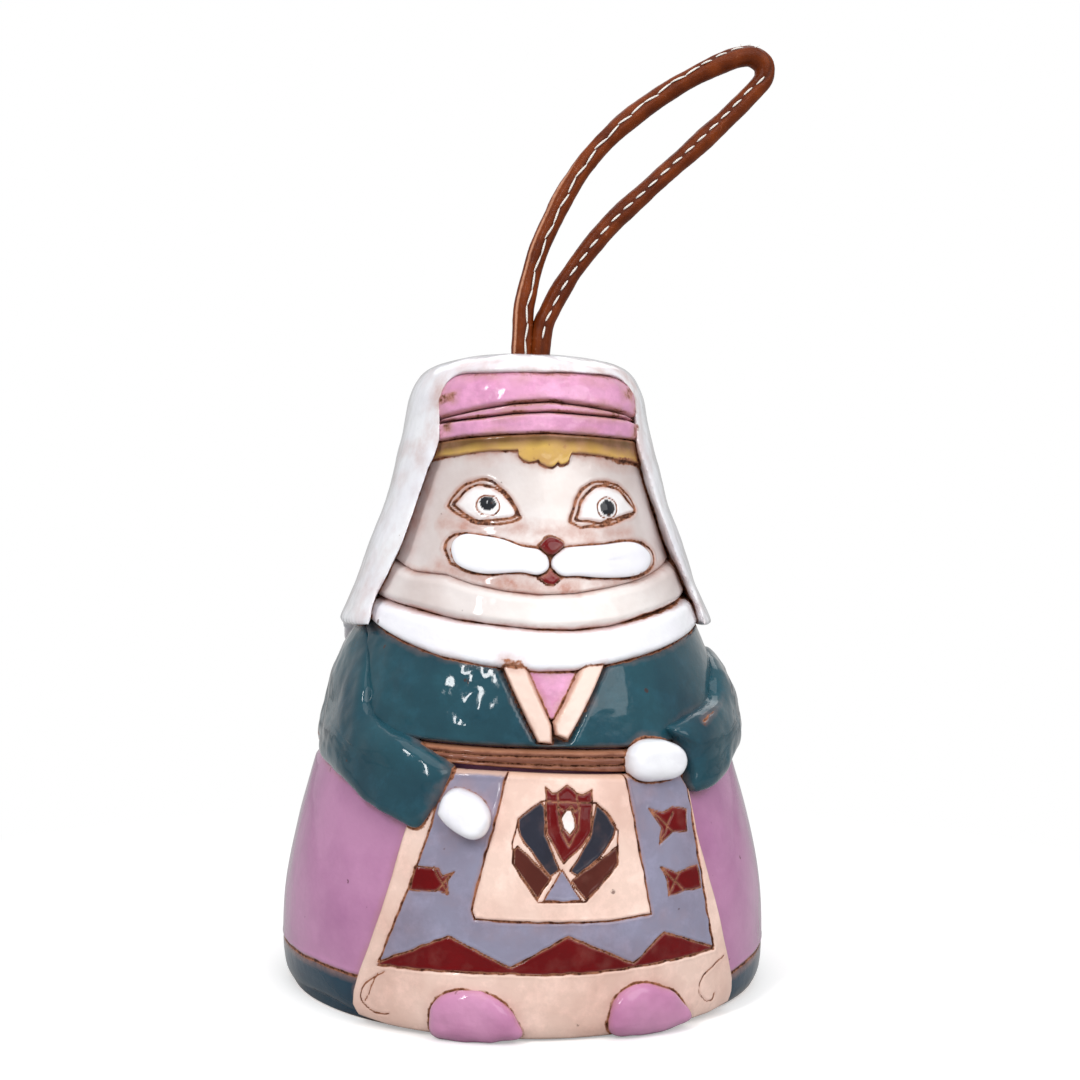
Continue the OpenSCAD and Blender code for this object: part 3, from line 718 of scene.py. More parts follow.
def tubeFrom(name, line, radius, around, seam=None, sink=0.0, cell=0.4):  # line in millimetres
    run = runOf(line)
    cuts = np.linspace(0, run[-1], max(3, int(run[-1] / cell) + 1))
    spots = along(cuts, run, line)
    ahead = np.gradient(spots, axis=0)
    ahead /= np.linalg.norm(ahead, axis=1)[:, None]
    front = np.tile([0.0, -1.0, 0.0], (len(cuts), 1))
    if abs(ahead[0] @ front[0]) > 0.9:
        front = np.tile([1.0, 0.0, 0.0], (len(cuts), 1))
    front -= (front * ahead).sum(axis=1)[:, None] * ahead
    front /= np.linalg.norm(front, axis=1)[:, None]
    side = np.cross(ahead, front)
    bpy.ops.mesh.primitive_cylinder_add(vertices=around, radius=1, depth=1, end_fill_type="TRIFAN")
    piece = bpy.context.object
    piece.name = name
    editAll(piece, (bpy.ops.mesh.select_mode, {"type": "EDGE"}),
            (bpy.ops.mesh.select_all, {"action": "DESELECT"}))
    for edge in piece.data.edges:  # the long edges are cut into rings
        a, b = (piece.data.vertices[v].co for v in edge.vertices)
        edge.select = abs(a.z - b.z) > 0.5
    bpy.ops.object.mode_set(mode="EDIT")
    bpy.ops.mesh.subdivide_edgering(number_cuts=len(cuts) - 2, interpolation="LINEAR")
    bpy.ops.mesh.select_mode(type="VERT")
    bpy.ops.object.mode_set(mode="OBJECT")
    start = readPoints(piece) * mm
    ring = np.clip(np.rint((start[:, 2] + 0.5) * (len(cuts) - 1)).astype(int), 0, len(cuts) - 1)
    middle = np.hypot(start[:, 0], start[:, 1]) < 0.5
    turn = np.arctan2(start[:, 1], start[:, 0])
    share = cuts[ring] / run[-1]
    reach = np.where(middle, 0, 1) * (radius(share, turn) if callable(radius) else radius)
    if seam:
        lineUp = np.radians(np.interp(share, *np.array(seam).T))
        off = np.angle(np.exp(1j * (turn - lineUp)))
        reach = reach - sink * np.exp(-((off / 0.24) ** 2))
        reach = reach + 0.05 * np.exp(-(((np.abs(off) - 0.5) / 0.2) ** 2))
        reach = reach - sink * 0.7 * np.exp(-(((off + 0.85) / 0.1) ** 2)) * (share < 0.3)
        raw = np.clip(1 - np.abs(off + 1.15) / 0.28, 0, 1) * np.clip((0.27 - share) / 0.05, 0, 1)
        mark(piece, seam=np.clip(1 - np.abs(off) / 0.3, 0, 1), raw=raw)
    forward, sideways = (np.cos(turn) * reach)[:, None], (np.sin(turn) * reach)[:, None]
    writePoints(piece, spots[ring] + front[ring] * forward + side[ring] * sideways)
    faceOutwards(piece)
    return piece, spots, front, side


def makeStrap():
    route = smoothLine([strap["foot"][0]] + strap["route"] + [strap["foot"][1]], 8)
    line = np.array([(x, 0.0, z + strap["pivot"]) for x, z in route])
    half = strap["thick"] / 2
    width = lambda t, turn: half * (0.97 + 0.04 * np.sin(t * 41) + 0.02 * np.sin(t * 97 + 1))
    loop, spots, front, side = tubeFrom("hangingLoop", line, width, strap["around"], strap["seamTurns"], 0.22)
    ripple(loop, (2.2, 0.07, 3), (0.7, 0.03, 4))
    run = runOf(spots)
    bpy.ops.mesh.primitive_uv_sphere_add(segments=10, ring_count=8, radius=1)
    pattern = bpy.context.object
    shape = readPoints(pattern) * mm
    count = int(run[-1] / strap["stitch"])
    made = []
    for i in range(count):
        if strap["folded"][0] < (i + 0.5) / count < strap["folded"][1]:
            continue
        loose = i < count * 0.43  # the thread runs on without gaps on the left strand
        length = strap["stitch"] * (1.06 if loose else 0.74) / 2
        centre = (i + 0.5) * strap["stitch"]
        k = np.interp(centre + shape[:, 2] * length, run, np.arange(len(run)))
        low = np.clip(k.astype(int), 0, len(run) - 2)
        t = (k - low)[:, None]
        at = spots[low] * (1 - t) + spots[low + 1] * t
        tilt = (0.13 if i % 2 else -0.09) if loose else 0.05
        seam = np.radians(np.interp(centre / run[-1], *np.array(strap["seamTurns"]).T)) + tilt * shape[:, 2]
        seam = seam + (0.05 * math.sin(i * 2.3) if loose else 0)
        up = front[low] * np.cos(seam)[:, None] + side[low] * np.sin(seam)[:, None]
        across = np.cross(up, np.gradient(spots, axis=0)[low])
        across /= np.linalg.norm(across, axis=1)[:, None]
        lift = half - 0.08 - 0.14 * np.abs(shape[:, 2]) ** 3
        thread = strap["thread"]
        rise, slip = lift + shape[:, 0] * thread * 0.8, shape[:, 1] * thread
        spot = at + up * rise[:, None] + across * slip[:, None]
        stitch = copyOf(pattern.data, "stitch")
        writePoints(stitch, spot)
        made.append(stitch)
    bpy.data.objects.remove(pattern)
    for i, (x, z, lean, length) in enumerate(strap["shreds"]):  # torn edge at the tip
        bpy.ops.mesh.primitive_cone_add(vertices=6, radius1=0.16, radius2=0.04, depth=length)
        shred = bpy.context.object
        points = readPoints(shred) * mm
        points[:, 0] += 0.12 * np.sin(points[:, 2] * 3 + i)
        lean = np.array([[math.cos(lean), 0, math.sin(lean)], [0, 1, 0],
                         [-math.sin(lean), 0, math.cos(lean)]])
        writePoints(shred, points @ lean.T + [x, -0.5 + 0.25 * (i % 4), z + strap["pivot"] + 0.3])
        made.append(shred)
    stitches = join(made, "strapStitches")
    bpy.ops.object.shade_smooth()
    return loop, stitches, spots



def leatherFinish():
    material, place = newMaterial("leather")
    broad, fine = place.grain(260.0, 3.0), place.grain(1500.0, 4.0, 0.6)
    pores = place.make("TexVoronoi", {"feature": "DISTANCE_TO_EDGE"}, {"Vector": place, "Scale": 1700.0})
    colour = broad.limit(0.35, 0.7).blend(rgb(92, 36, 8), rgb(126, 56, 17))
    # lighter speckles: partly scuffed wear, partly painted highlight glints on the leather
    scuffsAndGlints = (fine - 0.62).limit(0.0, 0.12) * (broad - 0.45).limit(0.0, 0.2) * 0.8
    colour = scuffsAndGlints.blend(colour, rgb(186, 128, 98))
    colour = (place.mask("seam") * 0.75).blend(colour, rgb(62, 26, 14))
    colour = (place.mask("raw") * (fine + 0.35)).limit(0.2, 0.7).blend(colour, rgb(205, 148, 118))
    height = pores.limit(0.0, 0.12) * 0.6 + fine
    return plug(material, {"Base Color": colour, "Roughness": 0.2 + fine * 0.3, "Specular IOR Level": 0.14,
                           "Normal": height.bump(0.35, 0.0001)})


def threadFinish(name, light, dark):
    material, place = newMaterial(name)
    ply = place.make("TexWave", {"bands_direction": "DIAGONAL"},
                     {"Vector": place, "Scale": 1500.0, "Distortion": 1.0})
    return plug(material, {"Base Color": (ply * 0.7).blend(light, dark), "Roughness": 0.75,
                           "Normal": ply.bump(0.5, 0.0001)})


def bareClay(name, light, dark):
    material, place = newMaterial(name)
    broad, fine = place.grain(140.0, 4.0), place.grain(1400.0, 4.0, 0.7)
    colour = broad.limit(0.35, 0.7).blend(light, dark)
    colour = (fine - 0.6).limit(0.0, 0.06).blend(colour, dark)
    return plug(material, {"Base Color": colour, "Roughness": 0.7,
                           "Normal": (fine + broad).bump(0.4, 0.0004)})


hangingLoop, strapStitches, loopSpots = makeStrap()
leather = leatherFinish()
dip(leather, hangingLoop)
dip(threadFinish("thread", rgb(250, 246, 240), rgb(206, 196, 186)), strapStitches)
print("strap made")


def edgeLine(points, lift, before=(), after=()):  # a front view line, with angles added at its ends
    return np.vstack([*[[p] for p in before], onBell(points, lift), *[[p] for p in after]])


def ringOf(x, z, radius, count=20):
    turns = np.linspace(0, 2 * math.pi, count + 1)
    return [(x + radius * math.cos(t), z + radius * math.sin(t)) for t in turns]


# bell body, thrown and glazed pink over a teal foot

shell = dict(
    around=300, pink=rgb(193, 138, 176), teal=rgb(16, 58, 78), bare=rgb(198, 158, 134),
    hollow=[(34.4, 0.3), (35.5, 7.26), (34.33, 19.96), (29.6, 32.67), (27.4, 40.53), (22.2, 57),
            (17.16, 70.5), (13.8, 84), (12.8, 90.18), (9.8, 93.27), (5.8, 94.3), (4.4, 94.5)],
    hem=[(-180, 6.6), (-120, 6.9), (-90, 6.4), (-75, 6.8), (-60, 7), (-48, 6.7), (0, 6.2), (45, 5.3),
         (55, 5.9), (68, 6.1), (100, 6.5), (140, 6.1), (180, 6.6)],
    specks=[(-57, 10.6, 0.55), (-64, 19.1, 0.2), (-24, 21, 0.2), (71, 14, 0.25), (140, 22, 0.5),
            (-140, 16, 0.3)],
)

def makeShell():
    heights = np.concatenate([np.arange(0.6, 4.3, 0.6), np.arange(4.3, 8.4, 0.19), np.arange(8.8, 35.8, 0.7)])
    outer = [(37.3, 0.02), (37.7, 0.25)] + [(float(girth(z)), z) for z in heights]
    outer += [(33.75, 36.1), (33.3, bell["waist"]), (31.6, bell["waist"])]
    outer += [(r, z) for z, r in smoothLine(bell["torso"], 4)] + [(4.4, 98.3)]
    profile = np.array(outer + smoothLine(shell["hollow"], 7)[::-1].tolist() + [(34.75, 0.03), (35.2, 0)])
    bpy.ops.mesh.primitive_circle_add(vertices=len(profile), radius=1)
    piece = bpy.context.object
    piece.name = "bellBody"
    writePoints(piece, np.stack([profile[:, 0] * 0, -profile[:, 0], profile[:, 1]], axis=-1))
    circle = dict(steps=shell["around"], angle=2 * math.pi, center=(0, 0, 0), axis=(0, 0, 1))
    editAll(piece, (bpy.ops.mesh.spin, circle))
    faceOutwards(piece)
    points = readPoints(piece)
    x, y, z = points.T
    reach = np.hypot(x, y)
    angle = np.degrees(np.arctan2(x, -y))
    out = (z < 36.2) & (reach > girth(z) - 0.6) & (z > 0.3)
    gap = z - np.interp(angle, *np.array(shell["hem"]).T) + lumps(points, 1.6, 3) * 0.12
    push = np.where(out, -0.26 * np.exp(-(gap / 0.3) ** 2) + 0.08 * np.exp(-((gap - 0.7) / 0.3) ** 2), 0)
    push += lumps(points, 17, 1) * 0.2 * np.clip(z / 10, 0, 1)
    push += lumps(points, 5, 2) * 0.05 * np.clip(z / 4, 0, 1)
    thrown = 0.1 * np.sin(z * 1.9 + 0.5 * np.sin(np.radians(angle)))  # rings left inside by the fingers
    push += np.where(reach < girth(z) - 1, thrown, 0) * (z < 92)
    trimmed = 1.2 * np.clip(1 - z / 6.5, 0, 1) * np.exp(-((angle + 62) / 16) ** 2)
    push -= np.where(out, trimmed, 0)  # the foot is cut back on the left
    points = points + readNormals(piece) * push[:, None]
    points[:, 2] = np.maximum(points[:, 2], 0)
    writePoints(piece, points)
    scored = np.where(out, np.clip(1.35 - np.abs(gap) / 0.3, 0, 1), 0)
    for at, height, size in shell["specks"]:
        far = np.hypot(np.radians(angle - at) * reach, z - height)
        scored = np.maximum(scored, np.where(out, np.clip(1.1 - far / size, 0, 0.7), 0))
    mark(piece, scored=scored, smudge=np.where(out, np.clip(1 - np.abs(gap + 0.3) / 1.3, 0, 1), 0))
    paintPoints(piece, np.where((gap > 0)[:, None], shell["pink"], shell["teal"]))
    dip(glaze("pinkGlaze", None, rgb(222, 205, 222), gloss=0.09, coat=0.75, haze=0.5), piece)
    dip(bareClay("bareClay", shell["bare"], rgb(150, 108, 84)), piece)
    for face in piece.data.polygons:
        middle = face.center / mm
        wide = math.hypot(middle.x, middle.y)
        if middle.z < 0.45 or wide < float(girth(middle.z)) - 1.2:
            face.material_index = 1
    return piece


bellBody = makeShell()
print("bell body made")


# apron, cut into cells of colour

apron = dict(
    thick=1.25, cell=0.229, line=0.34, fine=0.24, sink=0.16,
    low=[(-28.4, 1.2), (-24, 0.5), (-14, 0.15), (0, 0.05), (14, 0.15), (23, 0.6), (27, 1.4)],
    high=[(-19, 37.6), (-7, 37.3), (0, 37), (9.7, 36.6), (19.5, 36.2)],
    left=[(-28.4, 1.2), (-29.5, 3), (-29.4, 5), (-28.7, 7.9), (-27.4, 11.8), (-25.7, 17.1), (-24.2, 22),
          (-22.8, 27), (-21.6, 30.5), (-19, 37.6)],
    right=[(27, 1.4), (27.8, 3.4), (27.8, 5.3), (26.1, 11.8), (23.9, 20.1), (21.8, 27.6), (20.9, 33.6),
           (19.5, 36.2)],
    cream=rgb(240, 210, 196), grey=rgb(144, 142, 164), red=rgb(104, 0, 4), dark=rgb(46, 48, 60),
    brown=rgb(86, 38, 30), white=rgb(250, 248, 246),
)
apronField = dict(
    left=[(-15.9, 38.5), (-18.3, 29.5), (-19.9, 25.2), (-21.7, 20.2), (-23.5, 15.6), (-25.5, 9.9)],
    right=[(19.9, 37.5), (20.3, 33.6), (21.5, 23.6), (22.5, 16.3), (23.6, 10.8)],
    teeth=[(-25.4, 10), (-16.1, 14.7), (-7.6, 10.7), (0.5, 15), (10.1, 10.6), (15, 14.4), (23.3, 10.9)],
    hem=[(-25.6, 9.5), (-20.8, 9.7), (-14.3, 9.9), (-8.2, 9.9), (-2.9, 9.7), (3.4, 9.8), (9.6, 10),
         (16.3, 10.3), (23.6, 10.6)],
    panel=[(-7.2, 38.6), (-9.3, 31), (-11.2, 24.9), (-12.9, 18.4), (-12.5, 17.2), (-4.7, 16.9), (7.3, 16.8),
           (13, 17.2), (11.2, 28.8), (9.7, 38)],
)
apronEmblem = dict(
    tulip=[(-2.1, 35.3), (-1.3, 34.4), (-0.4, 34.6), (1, 35.5), (2.3, 34.4), (3.4, 34.2), (4.6, 34.9),
           (4.2, 29.2), (3.1, 27.5), (0, 24.9), (-2.1, 28.9), (-2.3, 31.1)],
    petals=[[(-0.4, 34.6), (-0.4, 32.6)], [(2.3, 34.4), (2.5, 32.3)]],
    flame=[(-0.5, 32.6), (0.5, 32), (1.3, 32.7), (1.9, 31.9), (2.7, 32.4), (2.3, 29.5), (0.9, 27.3),
           (-0.2, 29.4)],
    light=[(0.7, 32.2), (-0.1, 31), (0.2, 29.6), (1.1, 28.7), (1.9, 29.7), (1.8, 31), (1.4, 32.2)],
    darkLeft=[(-6.2, 29.8), (-6.1, 31.1), (-2.9, 33.4), (-2.4, 32.6), (-2.4, 28.9), (-0.6, 24.1),
              (-1.9, 23.2), (-3.4, 25), (-6, 28.8)],
    darkRight=[(5.1, 32.8), (6.7, 31.7), (7.9, 29.9), (7.5, 28.1), (5.2, 25.4), (1.9, 23.2), (0.9, 23.9),
               (2.1, 25.4), (4, 28.3)],
    brownLeft=[(-6.3, 27.3), (-1.8, 22.9), (-3.8, 20.2), (-7, 24.8), (-6.9, 26.7)],
    brownRight=[(8, 26.8), (8.1, 24.6), (6.7, 22.9), (3.1, 19.8), (1.1, 22.6)],
    foot=[(-0.2, 24.1), (-2.9, 19.9), (2.5, 19.7)],
    ring=[(-2.9, 33.4), (-6.1, 31.1), (-7.1, 27.6), (-7.1, 24.9), (-3.8, 19.8), (3.1, 19.6), (8.1, 24.4),
          (8.2, 29), (6.5, 31.7), (5.1, 33)],
)
apronStars = [
    dict(star=[(-20.6, 23.8), (-17.4, 23.9), (-16.7, 22.8), (-15.2, 23.5), (-16.2, 22), (-16, 20.3),
               (-17.3, 20.8), (-21.3, 20.5)], lines=[[(-18, 24), (-16, 20.3)], [(-15.2, 23.5),
                                                                                (-17.8, 20.6)]]),
    dict(star=[(13.4, 31.7), (15.6, 30.9), (17.3, 31.6), (19.7, 31), (19.6, 27.9), (17.1, 28.1), (14.8, 26.6),
               (15.3, 28.9)], lines=[[(13.4, 31.7), (17, 28.3)], [(14.8, 26.6), (17.3, 30.9)]]),
    dict(star=[(14.9, 23.4), (17.4, 22.4), (21.1, 23.1), (21.6, 19.8), (18.6, 19.8), (15.9, 19.4),
               (16, 21.4)],
         lines=[[(14.9, 23.4), (18.3, 20)], [(15.9, 19.4), (17.8, 22.6)]]),
]
apronCurls = [
    [(-24.7, 8.8), (-27.1, 6.6), (-27.9, 4.8), (-27.3, 3.3), (-25.5, 2.5), (-24, 2.7)],
    [(-25.6, 8.3), (-26.3, 6.6), (-27.3, 4)],
    [(25.4, 9.1), (23.2, 8), (21.2, 6.4), (21, 4.7), (22, 3.3), (23.4, 3), (23.8, 4)],
]

def skirtOut(z):  # the skirt's slope carried on above its top
    return np.where(z < 36, girth(np.minimum(z, 36)), 34.07 - (z - 36) * 0.1)


def makeApron():
    edges = [onBell(apron[side], apron["thick"], skirtOut) for side in ("low", "high", "left", "right")]
    slab = Slab("apronSlab", *edges, apron["thick"], edge=0.9, cell=apron["cell"], radius=skirtOut, under=0.6)
    slab.tint(apron["cream"])
    field, emblem = apronField, apronEmblem
    slab.fill(field["left"] + field["teeth"] + field["right"][::-1], apron["grey"], apron["sink"])
    slab.fill(field["teeth"] + field["hem"][::-1], apron["red"], apron["sink"] * 0.6)
    slab.fill(field["panel"], apron["cream"], -apron["sink"])
    for star in apronStars:
        slab.fill(star["star"], apron["red"], -0.1)
        slab.score([closed(star["star"])] + star["lines"], apron["fine"], 0.16, haze=2.4, ink=0.85)
    for part, tone in (("darkLeft", "dark"), ("darkRight", "dark"), ("brownLeft", "brown"),
                       ("brownRight", "brown"), ("foot", "grey"), ("tulip", "red"), ("light", "white")):
        slab.fill(emblem[part], apron[tone], 0.08)
        slab.score([closed(emblem[part])], apron["fine"], 0.2, haze=1.6)
    drawn = emblem["petals"] + [closed(emblem["flame"]), closed(emblem["ring"])]
    slab.score(drawn, apron["fine"], 0.2, haze=2.0)
    edges = [field[edge] for edge in ("left", "right", "teeth", "hem")]
    slab.score(edges, apron["line"], 0.3, 0.09, haze=1.6)
    slab.score([field["panel"]], apron["line"], 0.3, 0.09)
    slab.score([smoothLine(curl, 5) for curl in apronCurls], 0.3, 0.12, haze=2.4, ink=0.8)
    return slab.finish((9.0, 0.14, 4), (2.6, 0.05, 5))


apronPiece = makeApron()
dip(glaze("apronGlaze", None, rgb(228, 212, 208), gloss=0.18, coat=0.5, wave=0.9, bare=rgb(216, 176, 152),
          haze=0.34, cloud=0.42), apronPiece)
print("apron made")


# belt, jacket, lapels and shirt front

waist = dict(
    beltLow=[(-180, 36.9), (-70, 37.4), (-28, 38), (-12, 37.6), (0, 37.2), (17, 36.6), (60, 36.5),
             (180, 36.9)],
    beltHigh=[(-180, 41.2), (-48, 41.2), (-38, 40.9), (-27, 40.7), (-16, 40.5), (0, 40.3), (18, 40),
              (60, 40.6), (180, 41.2)],
    grooves=[[(-21.4, 40.3), (-13.8, 39.6), (-0.2, 39.3), (10.6, 38.9), (20, 38.9)],
             [(-19.6, 39), (-9.3, 38.5), (-0.2, 38.1), (10.6, 37.8), (20, 37.7)]],
    thick=2.3,
)

def makeBelt():
    slab = bandSlab("beltBand", waist["beltLow"], waist["beltHigh"], waist["thick"], 0.5, 0.35,
                    sides=(False, False, True, True))
    slab.score(waist["grooves"], 0.34, 0.45, 0.1)
    across = [(a, 38.75) for a in range(40, 330, 10)]
    slab.score([[(a - 360 if a > 180 else a, z) for a, z in across if a <= 180],
                [(a - 360, z) for a, z in across if a >= 180]], 0.4, 0.4, 0.1, around=True)
    return slab.finish((5.0, 0.16, 6), (1.2, 0.06, 7))


jacket = dict(
    thick=2.25,
    low=[(-180, 41.3), (-48, 41.3), (-38, 41), (-27, 40.8), (-16, 40.6), (0, 40.4), (18, 40.1), (60, 40.7),
         (180, 41.3)],
    high=[(-180, 57), (-72, 58.2), (-52, 56), (-36, 54.1), (-20, 52.7), (-5, 51.9), (6, 52), (18, 52.8),
          (31, 53.9), (55, 56.4), (75, 58.2), (180, 57)],
    opening=[(-9, 54), (-8.6, 52.6), (-3.1, 41), (1.7, 41), (7.6, 51.8), (8.4, 54)],
)
lapels = dict(
    thick=2.85,
    left=dict(low=[(-3.1, 41.3), (-0.7, 41)], high=[(-8.6, 53.8), (-4.6, 53.2)], left=[(-3.1, 41.3),
                                                                                       (-8.6, 53.8)],
              right=[(-0.7, 41), (-0.75, 43.8), (-4.6, 53.2)]),
    right=dict(low=[(-0.5, 42.4), (1.5, 41.5)], high=[(4.2, 53), (7.9, 52.6)],
               left=[(-0.5, 42.4), (-0.8, 44.2), (4.2, 53)], right=[(1.5, 41.5), (7.9, 52.6)]),
    shirt=dict(low=[(-1.6, 44.4), (-0.2, 44.4)], high=[(-5.2, 53.2), (4.8, 53)], left=[(-1.6, 44.4),
                                                                                       (-5.2, 53.2)],
               right=[(-0.2, 44.4), (4.8, 53)]),
)

def makeJacket():
    slab = bandSlab("jacketSlab", jacket["low"], jacket["high"], jacket["thick"], 1.0, 0.42,
                    sides=(False, False, True, True))
    slab.fill(jacket["opening"], None, 1.9)
    broken = 0.16 + 0.84 * np.clip((4 - slab.angle) / 8, 0, 1)  # brushed rougher over the left breast
    return slab.finish((6.5, 0.32, 8), (2.4, 0.2, 9), (1.1, 0.07, 10), share=broken)


def makeStrip(name, shape, thick):
    edges = [onBell(shape[side], thick) for side in ("low", "high", "left", "right")]
    return Slab(name, *edges, thick, edge=0.6, cell=0.25).finish((3.0, 0.12, 11), (0.9, 0.05, 12))


beltPiece = makeBelt()
jacketPiece = makeJacket()
lapelLeft = makeStrip("lapelLeft", lapels["left"], lapels["thick"])
lapelRight = makeStrip("lapelRight", lapels["right"], lapels["thick"] - 0.05)
shirtFront = makeStrip("shirtFront", lapels["shirt"], 1.55)
dip(glaze("beltOxide", rgb(126, 74, 52), rgb(88, 46, 32), gloss=0.3, coat=0.4, bare=rgb(176, 122, 92),
          ink=1.1),
    beltPiece)
teal = glaze("tealGlaze", rgb(34, 76, 88), rgb(22, 56, 70), gloss=0.05, haze=0.3, wave=1.1, bare=rgb(56, 88,
                                                                                                     96),
             cloud=0.6)
dip(teal, jacketPiece)
creamStrip = glaze("lapelGlaze", rgb(246, 222, 210), rgb(234, 204, 190),
                   gloss=0.22, coat=0.7, bare=rgb(206, 158, 134), haze=0.75)
dip(creamStrip, lapelLeft, lapelRight)
palePink = glaze("palePinkGlaze", rgb(228, 166, 200), rgb(202, 134, 174),
                 gloss=0.07, wave=2.3, bare=rgb(206, 160, 168), haze=0.6, cloud=0.5)
dip(palePink, shirtFront)
print("jacket made")


# head: scarf, chin roll, face, hair and cap

scarf = dict(
    thick=3.2,
    low=[(-26.7, 57.5), (-22.6, 55), (-16.7, 52.9), (-9.7, 51.8), (-2.6, 51.2), (3, 51.3), (8.9, 52.1),
         (15.3, 53.3), (24.4, 55.8)],
    lowEnds=([(-96, 60), (-84, 59)], [(74, 57.8), (84, 59), (96, 60)]),
    high=[(-25.7, 61.7), (-20.6, 60.1), (-14.7, 58.8), (-8.7, 58.1), (-2.2, 57.5), (3.4, 57.4), (9.4, 57.9),
          (16, 59.3), (24.8, 61.9)],
    highEnds=([(-96, 63.4), (-84, 62.8)], [(84, 62.9), (96, 63.4)]),
)
chin = dict(
    thick=2.9,
    low=[(-25.7, 61.4), (-20.6, 60), (-14.7, 58.6), (-8.7, 57.9), (-2.2, 57.3), (3.4, 57.2), (9.4, 57.7),
         (16, 59.1), (24.8, 61.7)],
    lowEnds=([(-90, 62.8)], [(90, 62.9)]),
    high=[(-20.1, 65.9), (-15.5, 65.5), (-12, 64.2), (-7, 63.2), (-1.9, 62.7), (3.8, 62.9), (9.9, 63.8),
          (14.4, 64.7), (19.8, 66.7)],
    highEnds=([(-90, 70.5), (-74, 68.2)], [(74, 68.8), (90, 70.8)]),
    crease=[(-19.5, 66.5), (-14.4, 65.3), (-9, 64.5), (-2, 63.7), (4, 63.8), (10, 64.7), (15, 66.2),
            (18.6, 68)],
)

def makeBand(name, band, edge, cell):
    low = edgeLine(band["low"], band["thick"], *band["lowEnds"])
    high = edgeLine(band["high"], band["thick"], *band["highEnds"])
    return bandSlab(name, low, high, band["thick"], edge, cell)


scarfPiece = makeBand("neckScarf", scarf, 1.5, 0.36).finish((6.0, 0.2, 13), (1.5, 0.04, 14))
chinSlab = makeBand("chinRoll", chin, 1.8, 0.33)

face = dict(
    # bright is a painted highlight for the middle of the face and chin; cream, their own colour, also stands for the
    # painted shade at the sides
    thick=2.05, cream=rgb(218, 208, 206), bright=rgb(246, 240, 237), white=rgb(250, 250, 252),
    pupil=rgb(36, 38, 44), red=rgb(122, 8, 14),
    low=[(-20.1, 65.6), (-15.5, 65.2), (-12, 63.9), (-7, 62.9), (-1.9, 62.4), (3.8, 62.6), (9.9, 63.5),
         (14.4, 64.4), (19.8, 66.4)],
    lowEnds=([(-88, 70), (-74, 68)], [(74, 68.5), (88, 70.4)]),
    highEnds=[(-88, 85.5), (-50, 86), (0, 86.3), (50, 86), (88, 85.5)],
)
eyes = [
    dict(outer=[(-13.9, 75.9), (-12.6, 78.2), (-10.6, 79.7), (-8.6, 80), (-6.8, 78.9), (-5.3, 77.2),
                (-4.2, 74.7), (-4.1, 73.9), (-6.9, 73.2), (-10.2, 73.3), (-12, 74.2)],
         inner=[(-13.1, 76.2), (-11.5, 78.3), (-9.7, 79.2), (-7.1, 78.5), (-5.3, 76.6), (-4.5, 74.5),
                (-7.3, 73.9), (-9.8, 73.6), (-11.6, 74.5)],
         pupil=(-8.4, 76.4, 1.08), ring=(-8.4, 76, 1.6)),
    dict(outer=[(3.4, 73.5), (4.5, 77.1), (6.4, 79.3), (8.8, 80), (11.7, 79.3), (13.7, 77.4), (14.3, 75.4),
                (11.8, 74), (8.7, 73.1), (4.9, 72.8)],
         inner=[(4.3, 73.9), (5.3, 76.8), (7, 78.7), (9, 79.4), (11.7, 78.7), (13.4, 76.8), (14.1, 75.4),
                (11.4, 74.4), (8.3, 73.5)],
         pupil=(9.3, 75.9, 1.2), ring=(9.3, 75.85, 1.62)),
]
muzzle = dict(
    left=[(-14.6, 69.3), (-14.1, 70.8), (-12.4, 71.7), (-9.9, 71.4), (-7, 70.9), (-4.1, 69.8), (-1.5, 69.4),
          (-0.3, 68.3), (-0.2, 66.5), (-1.9, 65.5), (-4.5, 65.9), (-9.1, 65.6), (-11.9, 66), (-14, 67.2)],
    right=[(0.3, 68), (1.9, 69.5), (4.7, 69.9), (8.8, 70.2), (13.3, 70.7), (15.9, 70.1), (17.4, 68.4),
           (16.4, 66.4), (13.7, 65.3), (8.4, 65.1), (4.4, 65.4), (1.7, 65.4), (0.2, 66.7)],
    spines=[[(-11.5, 68.7), (-2, 67.4)], [(2, 67.4), (14.5, 68)]],
    nose=[(-1.5, 69.9), (-0.6, 70.9), (0.3, 71.3), (1.4, 71), (2.4, 70.2), (1.5, 69.2), (0.4, 68.5),
          (-0.8, 68.9)],
    mouth=[(-0.1, 66.6), (-1.9, 65.1), (-0.6, 64), (0.5, 64), (1.7, 65.1)],
    philtrum=[(0, 68.8), (0.05, 66.4)],
    stains=[([(-15.5, 66), (-8, 64.6), (0, 63.4), (8, 64), (16, 65.2)], 3.0, 1.0),
            ([(-14, 72.6), (-6, 72.2), (0, 71.7), (6, 71.2)], 2.8, 0.9), ([(5, 71.6), (13, 72.2)], 2.0, 0.7),
            ([(-19.5, 70), (-17.5, 77), (-16.4, 82)], 3.4, 0.65), ([(20, 71), (17.4, 82)], 2.8, 0.5),
            ([(-15, 83), (-5, 83.6), (4, 83.2), (15, 82.6)], 2.0, 0.5)],
)

def paintLitMiddle(slab, middle, wide):  # paints the middle paler and the sides darker: a painted highlight down the middle, painted shade towards the sides
    slab.tint(face["cream"])
    # side grows away from the middle: how much painted shade replaces the painted highlight
    side = np.clip((np.abs(slab.angle - middle) - wide) / 30, 0, 1)
    side = np.clip(side + slab.lumps(6, 27) * 0.35, 0, 1)[:, None]
    slab.paint = np.array(face["bright"]) * (1 - side) + slab.paint * side


paintLitMiddle(chinSlab, 8, 14)
chinPiece = chinSlab.finish((5.0, 0.22, 15), (1.6, 0.05, 26))


